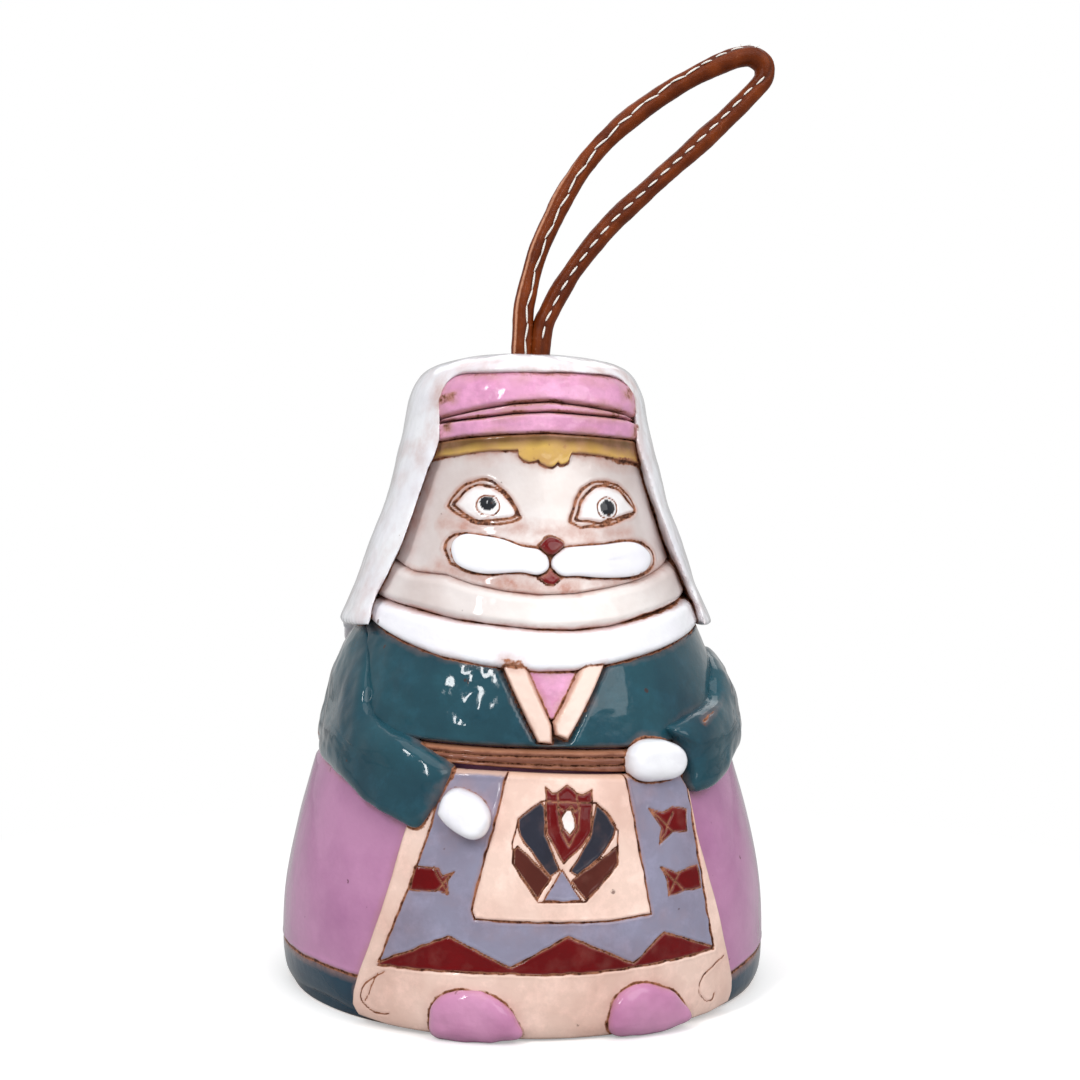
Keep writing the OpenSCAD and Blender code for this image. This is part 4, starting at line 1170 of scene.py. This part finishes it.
def makeFace():
    low = edgeLine(face["low"], face["thick"], *face["lowEnds"])
    slab = bandSlab("faceSlab", low, face["highEnds"], face["thick"], 0.7, 0.19)
    paintLitMiddle(slab, 5, 1)
    patchy = 0.75 + 0.6 * slab.lumps(3.0, 28)
    for line, wide, amount in muzzle["stains"]:
        slab.stain(near(slab.flat(), slab.drawn(line)), wide, amount * patchy, 0.6)
    for eye in eyes:
        spots, white = slab.flat(), slab.drawn(eye["inner"])
        gap = np.where(inside(spots, white), near(spots, np.vstack([white, white[:1]])), 0)
        slab.height += 0.26 * np.clip(gap / 1.8, 0, 1) ** 0.6
        slab.fill(eye["inner"], face["white"])
        slab.score([closed(smoothLine(eye[rim], 4)) for rim in ("outer", "inner")], 0.46, 0.22, haze=2.6)
        slab.fill(ringOf(*eye["pupil"]), face["pupil"])
        x, z, wide = eye["pupil"]
        middle = near(slab.flat(), slab.drawn([(x - 0.01, z), (x + 0.01, z)]))
        slab.height += 0.34 * np.clip(1 - (middle / wide) ** 2, 0, 1)
        slab.score([ringOf(*eye["ring"])], 0.28, 0.12, haze=1.5, ink=0.85)
    slab.fill(muzzle["mouth"], face["red"], -0.35)
    slab.score([closed(muzzle["mouth"]), muzzle["philtrum"]], 0.3, 0.2, haze=4.0)
    slab.smudge[inside(slab.flat(), slab.drawn(muzzle["mouth"]))] = 0
    for side in ("left", "right"):
        slab.score([closed(smoothLine(muzzle[side], 4))], 0.5, 0.25)
    return slab.finish((9.0, 0.3, 16), (2.2, 0.05, 17))


facePiece = makeFace()
pads = [pressedBall("muzzle" + side.title(), muzzle[side], 1.25, spine, face["thick"] - 0.1, girth, plump=0.5,
                    turns=110, rings=48, under=0.6, peak=0.6, soften=10)
        for side, spine in zip(("left", "right"), muzzle["spines"])]
nosePiece = pressedBall("noseBead", muzzle["nose"], 1.3, [(0, 70), (0.8, 70)],
                        face["thick"] + 0.1, girth, plump=0.6, turns=64, rings=32, under=0.5, peak=0.7)
print("face made")

hair = dict(
    # dark is a painted shadow under the cap, light the fringe's own ochre; shade gives the height where the painted
    # shadow starts
    thick=2.5, light=rgb(222, 184, 92), dark=rgb(112, 80, 40),
    low=[(-15.4, 83.5), (-12.9, 83.6), (-10.7, 84), (-8.6, 84.2), (-5.3, 84.3), (-3.9, 84.3), (-4.2, 83.4),
         (-3.5, 82.7), (-2.6, 82.4), (-1.9, 82.5), (-1.2, 82.8), (-0.9, 82.3), (0, 81.8), (0.8, 81.7),
         (1.4, 82), (1.8, 82.5), (2.3, 82.1), (2.9, 82.2), (3.5, 82.6), (3.6, 83.3), (3.9, 84), (6.1, 84),
         (9.5, 83.7), (12.7, 83.2), (15.3, 83.2)],
    lowEnds=([(-66, 82.6)], [(66, 82.2)]),
    high=[(-16.3, 86.2), (-12.9, 86.6), (-7.1, 87), (0.4, 87.4), (6.9, 87.2), (15.3, 87)],
    highEnds=([(-66, 85.6)], [(66, 86)]),
    shade=([-60, -20, 0, 20, 60], [83.2, 84.7, 85.1, 84.8, 83.6]),
)
capLines = [
    [(-16.5, 85.8), (-13, 86.5), (-7.2, 86.8), (0.4, 87.1), (6.8, 86.9), (15.4, 86.7)],
    [(-15.8, 89.2), (-10.1, 89.7), (-5, 90.3), (0.7, 90.6), (6.8, 90.4), (14.4, 90.2)],
    [(-15.2, 89.9), (-10, 91), (-4.9, 91.8), (0.9, 92.2), (7, 91.7), (13.9, 91)],
    [(-14.2, 96.8), (-9.9, 97.3), (-4.7, 97.4), (0.3, 97.5), (5.6, 97.6), (13.3, 97.8)],
]
caps = [
    dict(name="capLower", thick=2.9, edge=0.7, lines=(0, 1),
         ends=[(-55, 85.4), (55, 86.4), (-55, 88.9), (55, 89.7)]),
    dict(name="capMiddle", thick=2.1, edge=0.4, lines=(1, 2),
         ends=[(-55, 88.7), (55, 89.6), (-55, 89.5), (55, 90.3)]),
    dict(name="capUpper", thick=2.5, edge=0.8, lines=(2, 3),
         ends=[(-56, 89.3), (56, 90.1), (-56, 95.8), (56, 96.7)]),
]
capStain = dict(ends=39, fade=6, edge=0.6, haze=1.6, ink=0.53)  # oxide towards the ends and along the edges

def makeHair():
    slab = makeBand("hairFringe", hair, 0.5, 0.24)
    # painted shadow: the fringe darkens towards its top edge, where the cap overhangs it
    up = slab.z - np.interp(slab.angle, *hair["shade"])
    under = np.clip(up / 1.4 + slab.lumps(2, 29) * 0.3, 0, 1)[:, None]
    slab.paint = np.array(hair["light"]) * (1 - under) + np.array(hair["dark"]) * under
    return slab.finish((3.0, 0.12, 18), (1.0, 0.05, 19))


def makeCap(cap):
    (a, b, c, d), (low, high) = cap["ends"], cap["lines"]
    band = dict(thick=cap["thick"], low=capLines[low], high=capLines[high], lowEnds=([a], [b]),
                highEnds=([c], [d]))
    slab = makeBand(cap["name"], band, cap["edge"], 0.27)
    patches = lambda size, seed, middle, swing: np.clip(middle + swing * slab.lumps(size, seed), 0, 1)
    ends = np.clip((np.abs(slab.angle) - capStain["ends"]) / capStain["fade"], 0, 1)
    ends = ends * patches(2.6, 76, 0.5, 1.6)
    edge = np.clip(1.6 - slab.rim / capStain["edge"], 0, 1) * patches(3.1, 74, 0.8, 0.9)
    haze = np.clip(1.3 - slab.rim / capStain["haze"], 0, 1) * patches(4.3, 75, 0.6, 1.2)
    slab.scored = capStain["ink"] * np.maximum(edge, ends)
    slab.smudge = np.maximum(ends, haze)
    return slab.finish((4.0, 0.18, 20), (1.4, 0.1, 21))


hairPiece = makeHair()
capPieces = [makeCap(cap) for cap in caps]
print("cap made")

veil = clayCopy("veil", "veilDrape", 0.425, 28)
ripple(veil, (13, 0.3, 22), (4, 0.12, 23), (1.3, 0.03, 24))
sleeves = dict(
    left=dict(
        front=[(-15.4, 37), (-16.2, 35.8), (-17.3, 33.1), (-18.7, 30.9), (-20.4, 28.8), (-23, 29.6),
               (-27.8, 31.8), (-30.6, 34)],
        side=[(-68, 35.3), (-82, 37.2), (-96, 40.5), (-103, 45.5), (-101, 51), (-93, 55), (-82, 57),
              (-70, 56.5), (-62, 53), (-57, 48.5), (-54, 45.2)],
        crease=[(-25, 42.9), (-22.3, 41.5), (-19.2, 39.9), (-15.9, 38)], spine=[(-84, 47), (-36, 34.6)],
        height=3.4, swell=([(-104, 0.1), (-84, 0.15), (-70, 0.35), (-55, 0.75), (-42, 1), (-26, 0.9)],
               [(38, 1), (44, 0.9), (50.6, 0.6), (56, 0.3)]),
    ),
    right=dict(
        front=[(18, 42.6), (19.9, 40.6), (20.6, 38.2), (20.8, 36), (20.7, 34.2), (22, 32.9), (25.2, 33.5),
               (28.5, 35), (31, 37)],
        side=[(72, 38.4), (86, 40.2), (98, 43.5), (103, 47.5), (98, 51), (88, 53), (77, 53), (67, 51.2),
              (61, 49)],
        crease=[(27.2, 45.9), (22.5, 44.5), (18.4, 43.1)], spine=[(84, 46.5), (42, 38.4)], height=3.4,
        swell=([(24, 0.9), (42, 0.95), (60, 0.8), (84, 0.72), (104, 0.6)], [(38, 1), (46, 1), (50, 0.8),
                                                                            (53, 0.5)]),
    ),
)

def makeSleeve(name, sleeve):
    outline = np.vstack([onBell(sleeve["front"], 2, dressedGirth), sleeve["side"],
                         onBell(sleeve["crease"], 2, dressedGirth)])
    across, up = (np.array(part).T for part in sleeve["swell"])
    swell = lambda angle, z: np.interp(angle, *across) * np.interp(z, *up)
    return pressedBall(name, outline, sleeve["height"], sleeve["spine"],
                       plump=0.5, turns=220, rings=100, under=1.4, around=True, peak=0.62, swell=swell,
                       soften=8)


sleeveLeft = makeSleeve("sleeveLeft", sleeves["left"])
sleeveRight = makeSleeve("sleeveRight", sleeves["right"])
for sleeve, seed in ((sleeveLeft, 25), (sleeveRight, 35)):
    ripple(sleeve, (7, 0.4, seed), (2.8, 0.16, seed + 1), (1.1, 0.03, seed + 2))
scratch(sleeveRight, [air([(31.4, 50.4), (31.9, 48.4), (31.2, 46.6)], dressedGirth, 2.4),
                      air([(29.6, 47), (26.6, 45.2), (23.6, 43.6)], dressedGirth, 2.8)], 0.5, 0.3)

hands = dict(
    left=dict(outline=[(-17.6, 32.1), (-16.7, 34.3), (-14.7, 35), (-11.8, 33.7), (-10.4, 31.4), (-11.3, 28.8),
                       (-13.3, 28.2), (-15.9, 29.4), (-17.6, 31.2)], spine=[(-14.9, 32.5), (-12.9, 30.4)],
                       lift=1.2,
              height=3.4),
    right=dict(outline=[(10.7, 39.6), (12.9, 41.3), (16.1, 41.4), (19.3, 40.1), (20.2, 37.8), (18.6, 35.7),
                        (14.8, 35.3), (11.8, 35.9), (10.6, 37.6)], spine=[(13.2, 38.8), (17.6, 38.6)],
                        lift=0.2,
               height=3.2),
)
shoes = dict(
    left=dict(outline=[(-19, 2.6), (-18.6, 4.8), (-17.2, 6.5), (-14.3, 7.5), (-10.8, 7), (-8, 5.3),
                       (-6.2, 2.5), (-6.1, 0.9), (-9, 0.1), (-14.1, -0.3), (-18.2, 0.3)], spine=[(-15, 2.6),
                                                                                                 (-10, 2.4)]),
    right=dict(outline=[(6.4, 1.9), (7.3, 5.7), (9.7, 7.5), (13.2, 7.5), (16.8, 5.8), (19.4, 2.6),
                        (19.3, 1.1), (15.5, 0.2), (11, -0.2), (7.4, 0.5)], spine=[(10.3, 2.8), (15.2, 2.6)]),
    lift=1.1, height=2.1,
)
handPieces = [pressedBall("hand" + side.title(), hand["outline"], hand["height"], hand["spine"], hand["lift"],
                          plump=0.62, turns=110, rings=56, under=0.9, peak=0.8)
              for side, hand in hands.items()]
shoePieces = [pressedBall("shoe" + side.title(), shoes[side]["outline"], shoes["height"],
                          shoes[side]["spine"], shoes["lift"],
                          plump=0.62, turns=120, rings=56, under=0.8, floor=True, peak=0.75)
              for side in ("left", "right")]
for i, piece in enumerate(handPieces + shoePieces):
    ripple(piece, (3.2, 0.12, 40 + i), (1.1, 0.03, 50 + i))
for shoe in shoePieces:
    ripple(shoe, (2.4, 0.16, 30))
    points = readPoints(shoe)
    writePoints(shoe, np.maximum(points, [-np.inf, -np.inf, 0.02]))
print("sleeves, hands and shoes made")

whiteGlaze = glaze("whiteGlaze", rgb(246, 247, 251), rgb(236, 234, 243),
                   gloss=0.06, haze=0.65, bare=rgb(234, 208, 208), cloud=0.0)
faceGlaze = glaze("faceGlaze", None, rgb(228, 216, 212), gloss=0.09, haze=1.0, cloud=0.0)
hairGlaze = glaze("ochreGlaze", None, rgb(214, 198, 170), gloss=0.08, bare=rgb(150, 104, 60), cloud=0.06)
redGlaze = glaze("redGlaze", rgb(116, 2, 8), rgb(92, 0, 4), gloss=0.04, cloud=0.0)
shoeGlaze = glaze("shoeGlaze", rgb(206, 146, 182), rgb(182, 114, 156),
                  gloss=0.06, wave=1.5, bare=rgb(190, 130, 146), cloud=0.14)
dip(faceGlaze, facePiece, chinPiece)
dip(hairGlaze, hairPiece)
dip(redGlaze, nosePiece)
dip(palePink, *capPieces)
dip(whiteGlaze, scarfPiece, veil, *pads, *handPieces)
dip(teal, sleeveLeft, sleeveRight)
dip(shoeGlaze, *shoePieces)


# strap foot and knot inside the crown, then the clapper on its cord

foot = dict(
    strands=[[(-1.07, 101.7), (-1.4, 99), (-1.8, 96), (-2.1, 93.5), (-2.2, 90.5)],
             [(2.05, 101.7), (2.0, 99), (2.0, 96), (2.1, 93.5), (2.3, 90.5)]],
    thick=1.7, knot=88.7, loop=3.05, sway=1.05, rise=1.9, bend=(0.0975, 0.102),
)
clapper = dict(
    thick=0.9, swing=77.41, eye=2.1, eyelet=2.6, tail=10.4, top=84, bead=22.81, plies=3, lay=3.6,
    knots=[32.4, 13.2], light=rgb(116, 78, 54), dark=rgb(52, 32, 22),
)

def makeFoot():
    made = []
    for strand in foot["strands"]:
        line = np.array([(x, 0, z) for x, z in smoothLine(strand, 8)])
        made.append(tubeFrom("strand", line, foot["thick"], 24, [(0, 12), (1, 12)], 0.15)[0])
    t = np.linspace(0, 2 * math.pi, 121)
    reach = foot["loop"] + foot["sway"] * np.cos(3 * t)
    rise = foot["knot"] + foot["rise"] * np.sin(3 * t)
    knot = np.stack([reach * np.cos(2 * t), reach * np.sin(2 * t), rise], axis=-1)
    made.append(tubeFrom("knot", knot, foot["thick"] * 0.94, 24, [(0, 90), (1, 90)], 0.15)[0])
    return join(made, "strapKnot")


def coil(radius, halves, count, low, rise):  # a line wound upwards
    t = np.linspace(0, halves * math.pi, count)
    return np.stack([radius * np.cos(t), radius * np.sin(t), low + rise * t / t[-1]], axis=-1)


def twisted(length):  # a rope of plies: the radius turns with the length
    turns, half = length / clapper["lay"], clapper["plies"] / 2
    ply = lambda t, turn: np.abs(np.cos(half * (turn - t * turns * 2 * math.pi)))
    return lambda t, turn: clapper["thick"] * (0.8 + 0.2 * ply(t, turn))


def tiedEye(name, ring, length, whip, thick):  # a rope ring and its whipping
    return join([tubeFrom("ring", ring, twisted(length), 20, cell=0.24)[0],
                 tubeFrom("whip", whip, thick, 12, cell=0.3)[0]], name)


def makeCord():
    down = np.array([(0, 0, z) for z in np.linspace(clapper["swing"] - clapper["eye"], clapper["tail"], 40)])
    cord = tubeFrom("clapperCord", down, twisted(65), 20, cell=0.24)[0]
    t = np.linspace(-0.5 * math.pi, 1.5 * math.pi, 61)
    rise = clapper["swing"] + clapper["eye"] * np.sin(t)
    ring = np.stack([t * 0, clapper["eye"] * np.cos(t), rise], axis=-1)
    whip = coil(1.05, 8, 120, clapper["swing"] - clapper["eye"] - 2.6, 1.9)
    return cord, tiedEye("cordEye", ring, 14, whip, 0.3), down


def makeEyelet():
    t = np.linspace(0.5 * math.pi, 2.5 * math.pi, 61)
    middle = clapper["swing"] + clapper["eyelet"]
    ring = np.stack([clapper["eyelet"] * np.cos(t), t * 0, middle + clapper["eyelet"] * np.sin(t)], axis=-1)
    whip = coil(1.75, 8, 120, clapper["top"] - 1.6, 1.1)
    return tiedEye("clapperEyelet", ring, 20, whip, 0.34)


def makeKnot(name, height):
    wound, half = coil(0.98, 4.6, 90, height - 0.85, 1.7), clapper["plies"] / 2
    ply = lambda t, turn: 0.76 * (0.86 + 0.14 * np.abs(np.cos(half * (turn - t * 26))))
    return tubeFrom(name, wound, ply, 18, cell=0.25)[0]


strapKnot = makeFoot()
dip(leather, strapKnot)
clapperCord, cordEye, cordDown = makeCord()
clapperEyelet = makeEyelet()
beadKnots = [makeKnot("beadKnotUpper", clapper["knots"][0]), makeKnot("beadKnotLower", clapper["knots"][1])]
waxedCord = threadFinish("waxedCord", clapper["light"], clapper["dark"])
dip(waxedCord, clapperCord, cordEye, clapperEyelet, *beadKnots)
bead = clayCopy("clapper_bead", "clapperBead", 0.35, 3)
ripple(bead, (5, 0.12, 60), (1.6, 0.04, 61))
dip(teal, bead)
print("clapper made")


# brown oxide left in the seams, where one piece of clay meets another

seams = dict(
    reach=1.6, veilReach=3.6,  # the glaze has run pink inside the veil
    width=0.52, capWidth=1.9, edgeWidth=(0.95, 0.7), edgeTurn=70,
)

def stainSeams(pieces, faint):
    known = {}
    for piece in pieces:
        faces = [tuple(face.vertices) for face in piece.data.polygons]
        points = readPoints(piece)
        known[piece.name] = (BVHTree.FromPolygons(points.tolist(), faces), points)
    for piece in pieces:
        points = known[piece.name][1]
        scored, smudge = readMark(piece, "scored"), readMark(piece, "smudge")
        bare = np.ones(len(points), bool)
        if piece.name == "bellBody":
            bare = (points[:, 2] < 36.4) & (np.hypot(points[:, 0], points[:, 1]) > girth(points[:, 2]) - 1)
        for other in pieces:
            if other is piece:
                continue
            tree, others = known[other.name]
            onCap = piece.name.startswith("cap") and other.name == "veilDrape"
            reach = seams["veilReach"] if piece.name == "veilDrape" or onCap else seams["reach"]
            low, high = others.min(axis=0) - reach, others.max(axis=0) + reach
            close = np.nonzero(bare & (points > low).all(axis=1) & (points < high).all(axis=1))[0]
            gap = np.full(len(close), 9.0)
            for k, spot in enumerate(points[close].tolist()):
                hit = tree.find_nearest(spot, reach)
                if hit[3] is not None:
                    gap[k] = hit[3]
            close, gap = close[gap < reach], gap[gap < reach]
            if not len(close):
                continue
            weight, soft = next((w for a, b, *w in faint if {a, b} == {piece.name, other.name}), (1.0, 1.0))
            gap = gap * (1 + 0.35 * lumps(points[close], 2.2, 70)) + 0.14 * lumps(points[close], 0.8, 71)
            x, y, z = points[close].T
            left = (x > 11) & (z > 56) & (z < 84) & (y < 4)  # thickest down the veil's left edge
            wide = np.where(left, np.where(z < seams["edgeTurn"], *seams["edgeWidth"]),
                            seams["capWidth"] if onCap else seams["width"])
            worn = np.clip(0.75 + 0.6 * lumps(points[close], 4.5, 72), 0.3, 0.85) + left * 0.15
            scored[close] = np.maximum(scored[close], np.clip(1.2 - gap / wide, 0, 1) * weight * worn)
            patchy = np.clip(0.8 + 0.8 * lumps(points[close], 2.8, 73), 0, 1)
            smudge[close] = np.maximum(smudge[close], np.clip(1 - gap / reach, 0, 1) * soft * patchy)
        mark(piece, scored=scored, smudge=smudge)


clay = [bellBody, apronPiece, beltPiece, jacketPiece, lapelLeft, lapelRight, shirtFront, scarfPiece,
        chinPiece, facePiece, nosePiece, hairPiece, veil, sleeveLeft,
        sleeveRight] + pads + capPieces + handPieces + shoePieces
stainSeams(clay, [
    ("jacketSlab", "sleeveLeft", 0.0, 0.1), ("jacketSlab", "sleeveRight", 0.3, 0.3),
    ("faceSlab", "chinRoll", 0.45, 0.9), ("bellBody", "apronSlab", 0.7, 0.9),
    ("veilDrape", "capUpper", 0.6, 1), ("veilDrape", "capMiddle", 0.7, 1),
    ("veilDrape", "capLower", 0.6, 1), ("capUpper", "capMiddle", 0.64, 0.8),
    ("capMiddle", "capLower", 0.64, 0.8), ("apronSlab", "handLeft", 0.6, 0.8),
    ("faceSlab", "muzzleLeft", 1.0, 0.3), ("faceSlab", "muzzleRight", 1.0, 0.3),
    ("jacketSlab", "bellBody", 0.8, 0.5), ("sleeveLeft", "handLeft", 1.0, 0.5),
    ("sleeveRight", "handRight", 1.0, 0.5),
])
print("seams stained")


# what each piece stands for

dressed = [
    (bellBody, "bell_shell", "pink_glaze"), (apronPiece, "apron", "bare_clay"),
    (beltPiece, "belt", "brown_oxide"), (jacketPiece, "jacket", "teal_glaze"),
    (lapelLeft, "lapel_left", "bare_clay"), (lapelRight, "lapel_right", "bare_clay"),
    (shirtFront, "shirt_front", "pale_pink_glaze"), (scarfPiece, "neck_scarf", "white_glaze"),
    (chinPiece, "chin_roll", "cream_glaze"), (facePiece, "face", "cream_glaze"), (pads[0],
                                                                                  "muzzle_left",
                                                                                  "white_glaze"),
    (pads[1], "muzzle_right", "white_glaze"), (nosePiece, "nose", "red_glaze"),
    (hairPiece, "hair_fringe", "ochre_glaze"), (capPieces[0], "cap_lower_band", "pale_pink_glaze"),
    (capPieces[1], "cap_middle_band", "pale_pink_glaze"), (capPieces[2], "cap_upper_band", "pale_pink_glaze"),
    (veil, "veil", "white_glaze"), (sleeveLeft, "sleeve_left", "teal_glaze"),
    (sleeveRight, "sleeve_right", "teal_glaze"), (handPieces[0], "hand_left", "white_glaze"),
    (handPieces[1], "hand_right", "white_glaze"), (shoePieces[0], "shoe_left", "pink_glaze"),
    (shoePieces[1], "shoe_right", "pink_glaze"),
]
hung = [
    (clapperCord, "clapper_cord", "cord", "clapper"), (bead, "clapper_bead", "teal_glaze", "bead"),
    (beadKnots[0], "bead_knot_upper", "cord", "clapper"), (beadKnots[1],
                                                           "bead_knot_lower", "cord", "clapper"),
    (clapperEyelet, "clapper_eyelet", "cord", "eyelet"),
]
for piece, node, slot, body in [(*entry, "bell") for entry in dressed] + hung:
    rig.replaces(piece, node)
    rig.slot(piece, slot)
    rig.ride(piece, body)
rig.slot(cordEye, "cord")
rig.ride(cordEye, "clapper")
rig.replaces(strapKnot, "strap_knot")
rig.slot(strapKnot, "leather")
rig.blend(strapKnot, "bell", "bend", start=(0, 0, foot["bend"][0]), end=(0, 0, foot["bend"][1]))
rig.cord(clapperCord, exit=cordDown[0] * mm, length=0.065, diameter=0.0018, far_end="knot", stiffness="limp",
        lay="hanging", path=cordDown * mm, with_pieces=beadKnots + [bead, cordEye])


# room: a white floor that keeps the bell's shadow, and four soft lamps

room = dict(
    lamps=[
        dict(name="keyStrip", around=-41, up=36, away=0.66, size=(0.07, 0.28), power=1.65),
        dict(name="fillBox", around=31, up=36, away=0.62, size=(0.5, 0.42), power=1.7),
        dict(name="topBox", around=0, up=82, away=0.7, size=(0.5, 0.5), power=0.92),
        dict(name="backBox", around=180, up=48, away=0.75, size=(0.8, 0.4), power=1.0),
    ],
    aim=(0, 0, 0.06), world=0.5,
)

def lightUp():
    for lamp in room["lamps"]:
        around, up = math.radians(lamp["around"]), math.radians(lamp["up"])
        way = Vector((math.cos(up) * math.sin(around), -math.cos(up) * math.cos(around), math.sin(up)))
        spot = Vector(room["aim"]) + way * lamp["away"]
        turn = (-way).to_track_quat("-Z", "Y").to_euler()
        bpy.ops.object.light_add(type="AREA", location=spot, rotation=turn)
        light = bpy.context.object
        light.name = lamp["name"]
        light.data.shape = "RECTANGLE"
        light.data.size, light.data.size_y = lamp["size"]
        light.data.energy = lamp["power"]
    world = bpy.data.worlds.new("studio")
    bpy.context.scene.world = world
    world.use_nodes = True
    tree = world.node_tree
    tree.nodes.clear()
    start = Wire(tree)
    rays = start.make("LightPath")
    seen = start.make("Background", None, {"Color": (1, 1, 1, 1), "Strength": 1.0})
    soft = start.make("Background", None, {"Color": (1, 1, 1, 1), "Strength": room["world"]})
    mixed = start.make("MixShader", None, {0: rays, 1: soft, 2: seen})
    tree.links.new(mixed.socket, tree.nodes.new("ShaderNodeOutputWorld").inputs["Surface"])


def layFloor():
    bpy.ops.mesh.primitive_plane_add(size=4, location=(0, 0, 0))
    floor = bpy.context.object
    floor.name = "floor"
    material = bpy.data.materials.new("floor")
    material.use_nodes = True
    tree = material.node_tree
    tree.nodes.clear()
    start = Wire(tree)
    rays = start.make("LightPath")
    matt = start.make("BsdfDiffuse", None, {"Color": (0.8, 0.8, 0.8, 1)})
    dull = start.make("BsdfDiffuse", None, {"Color": (0.5, 0.5, 0.5, 1)})
    glow = start.make("Emission", None, {"Color": (1, 1, 1, 1), "Strength": 0.35})
    far = start.make("Emission", None, {"Color": (1, 1, 1, 1), "Strength": 1.0})
    away = start.make("VectorMath", {"operation": "LENGTH"}, {0: start.make("TexCoord", out=3)}, out=1)
    ground = start.make("AddShader", None, {0: matt, 1: glow})
    seen = start.make("MixShader", None, {0: away.limit(0.07, 0.16), 1: ground, 2: far})
    mixed = start.make("MixShader", None, {0: rays, 1: dull, 2: seen})
    tree.links.new(mixed.socket, tree.nodes.new("ShaderNodeOutputMaterial").inputs["Surface"])
    floor.data.materials.append(material)
    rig.stage(floor)


lightUp()
layFloor()
bpy.context.scene.view_settings.view_transform = "Standard"

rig.replaces(hangingLoop, "hanging_loop", "strap_bend")
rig.slot(hangingLoop, "leather")
for piece in (hangingLoop, strapStitches):
    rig.blend(piece, "bend", "loop", start=(0, 0, 0.102), end=(0, 0, 0.107))
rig.cord(hangingLoop, exit=loopSpots[0] * mm, length=0.139, diameter=strap["thick"] * mm, far_end="object",
        stiffness="stiff", lay="loose", path=loopSpots * mm, with_pieces=[strapStitches])
with open("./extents.json", "w") as out:
    json.dump([cadBox, [list(corner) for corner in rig.bounds()]], out)
print("ready")
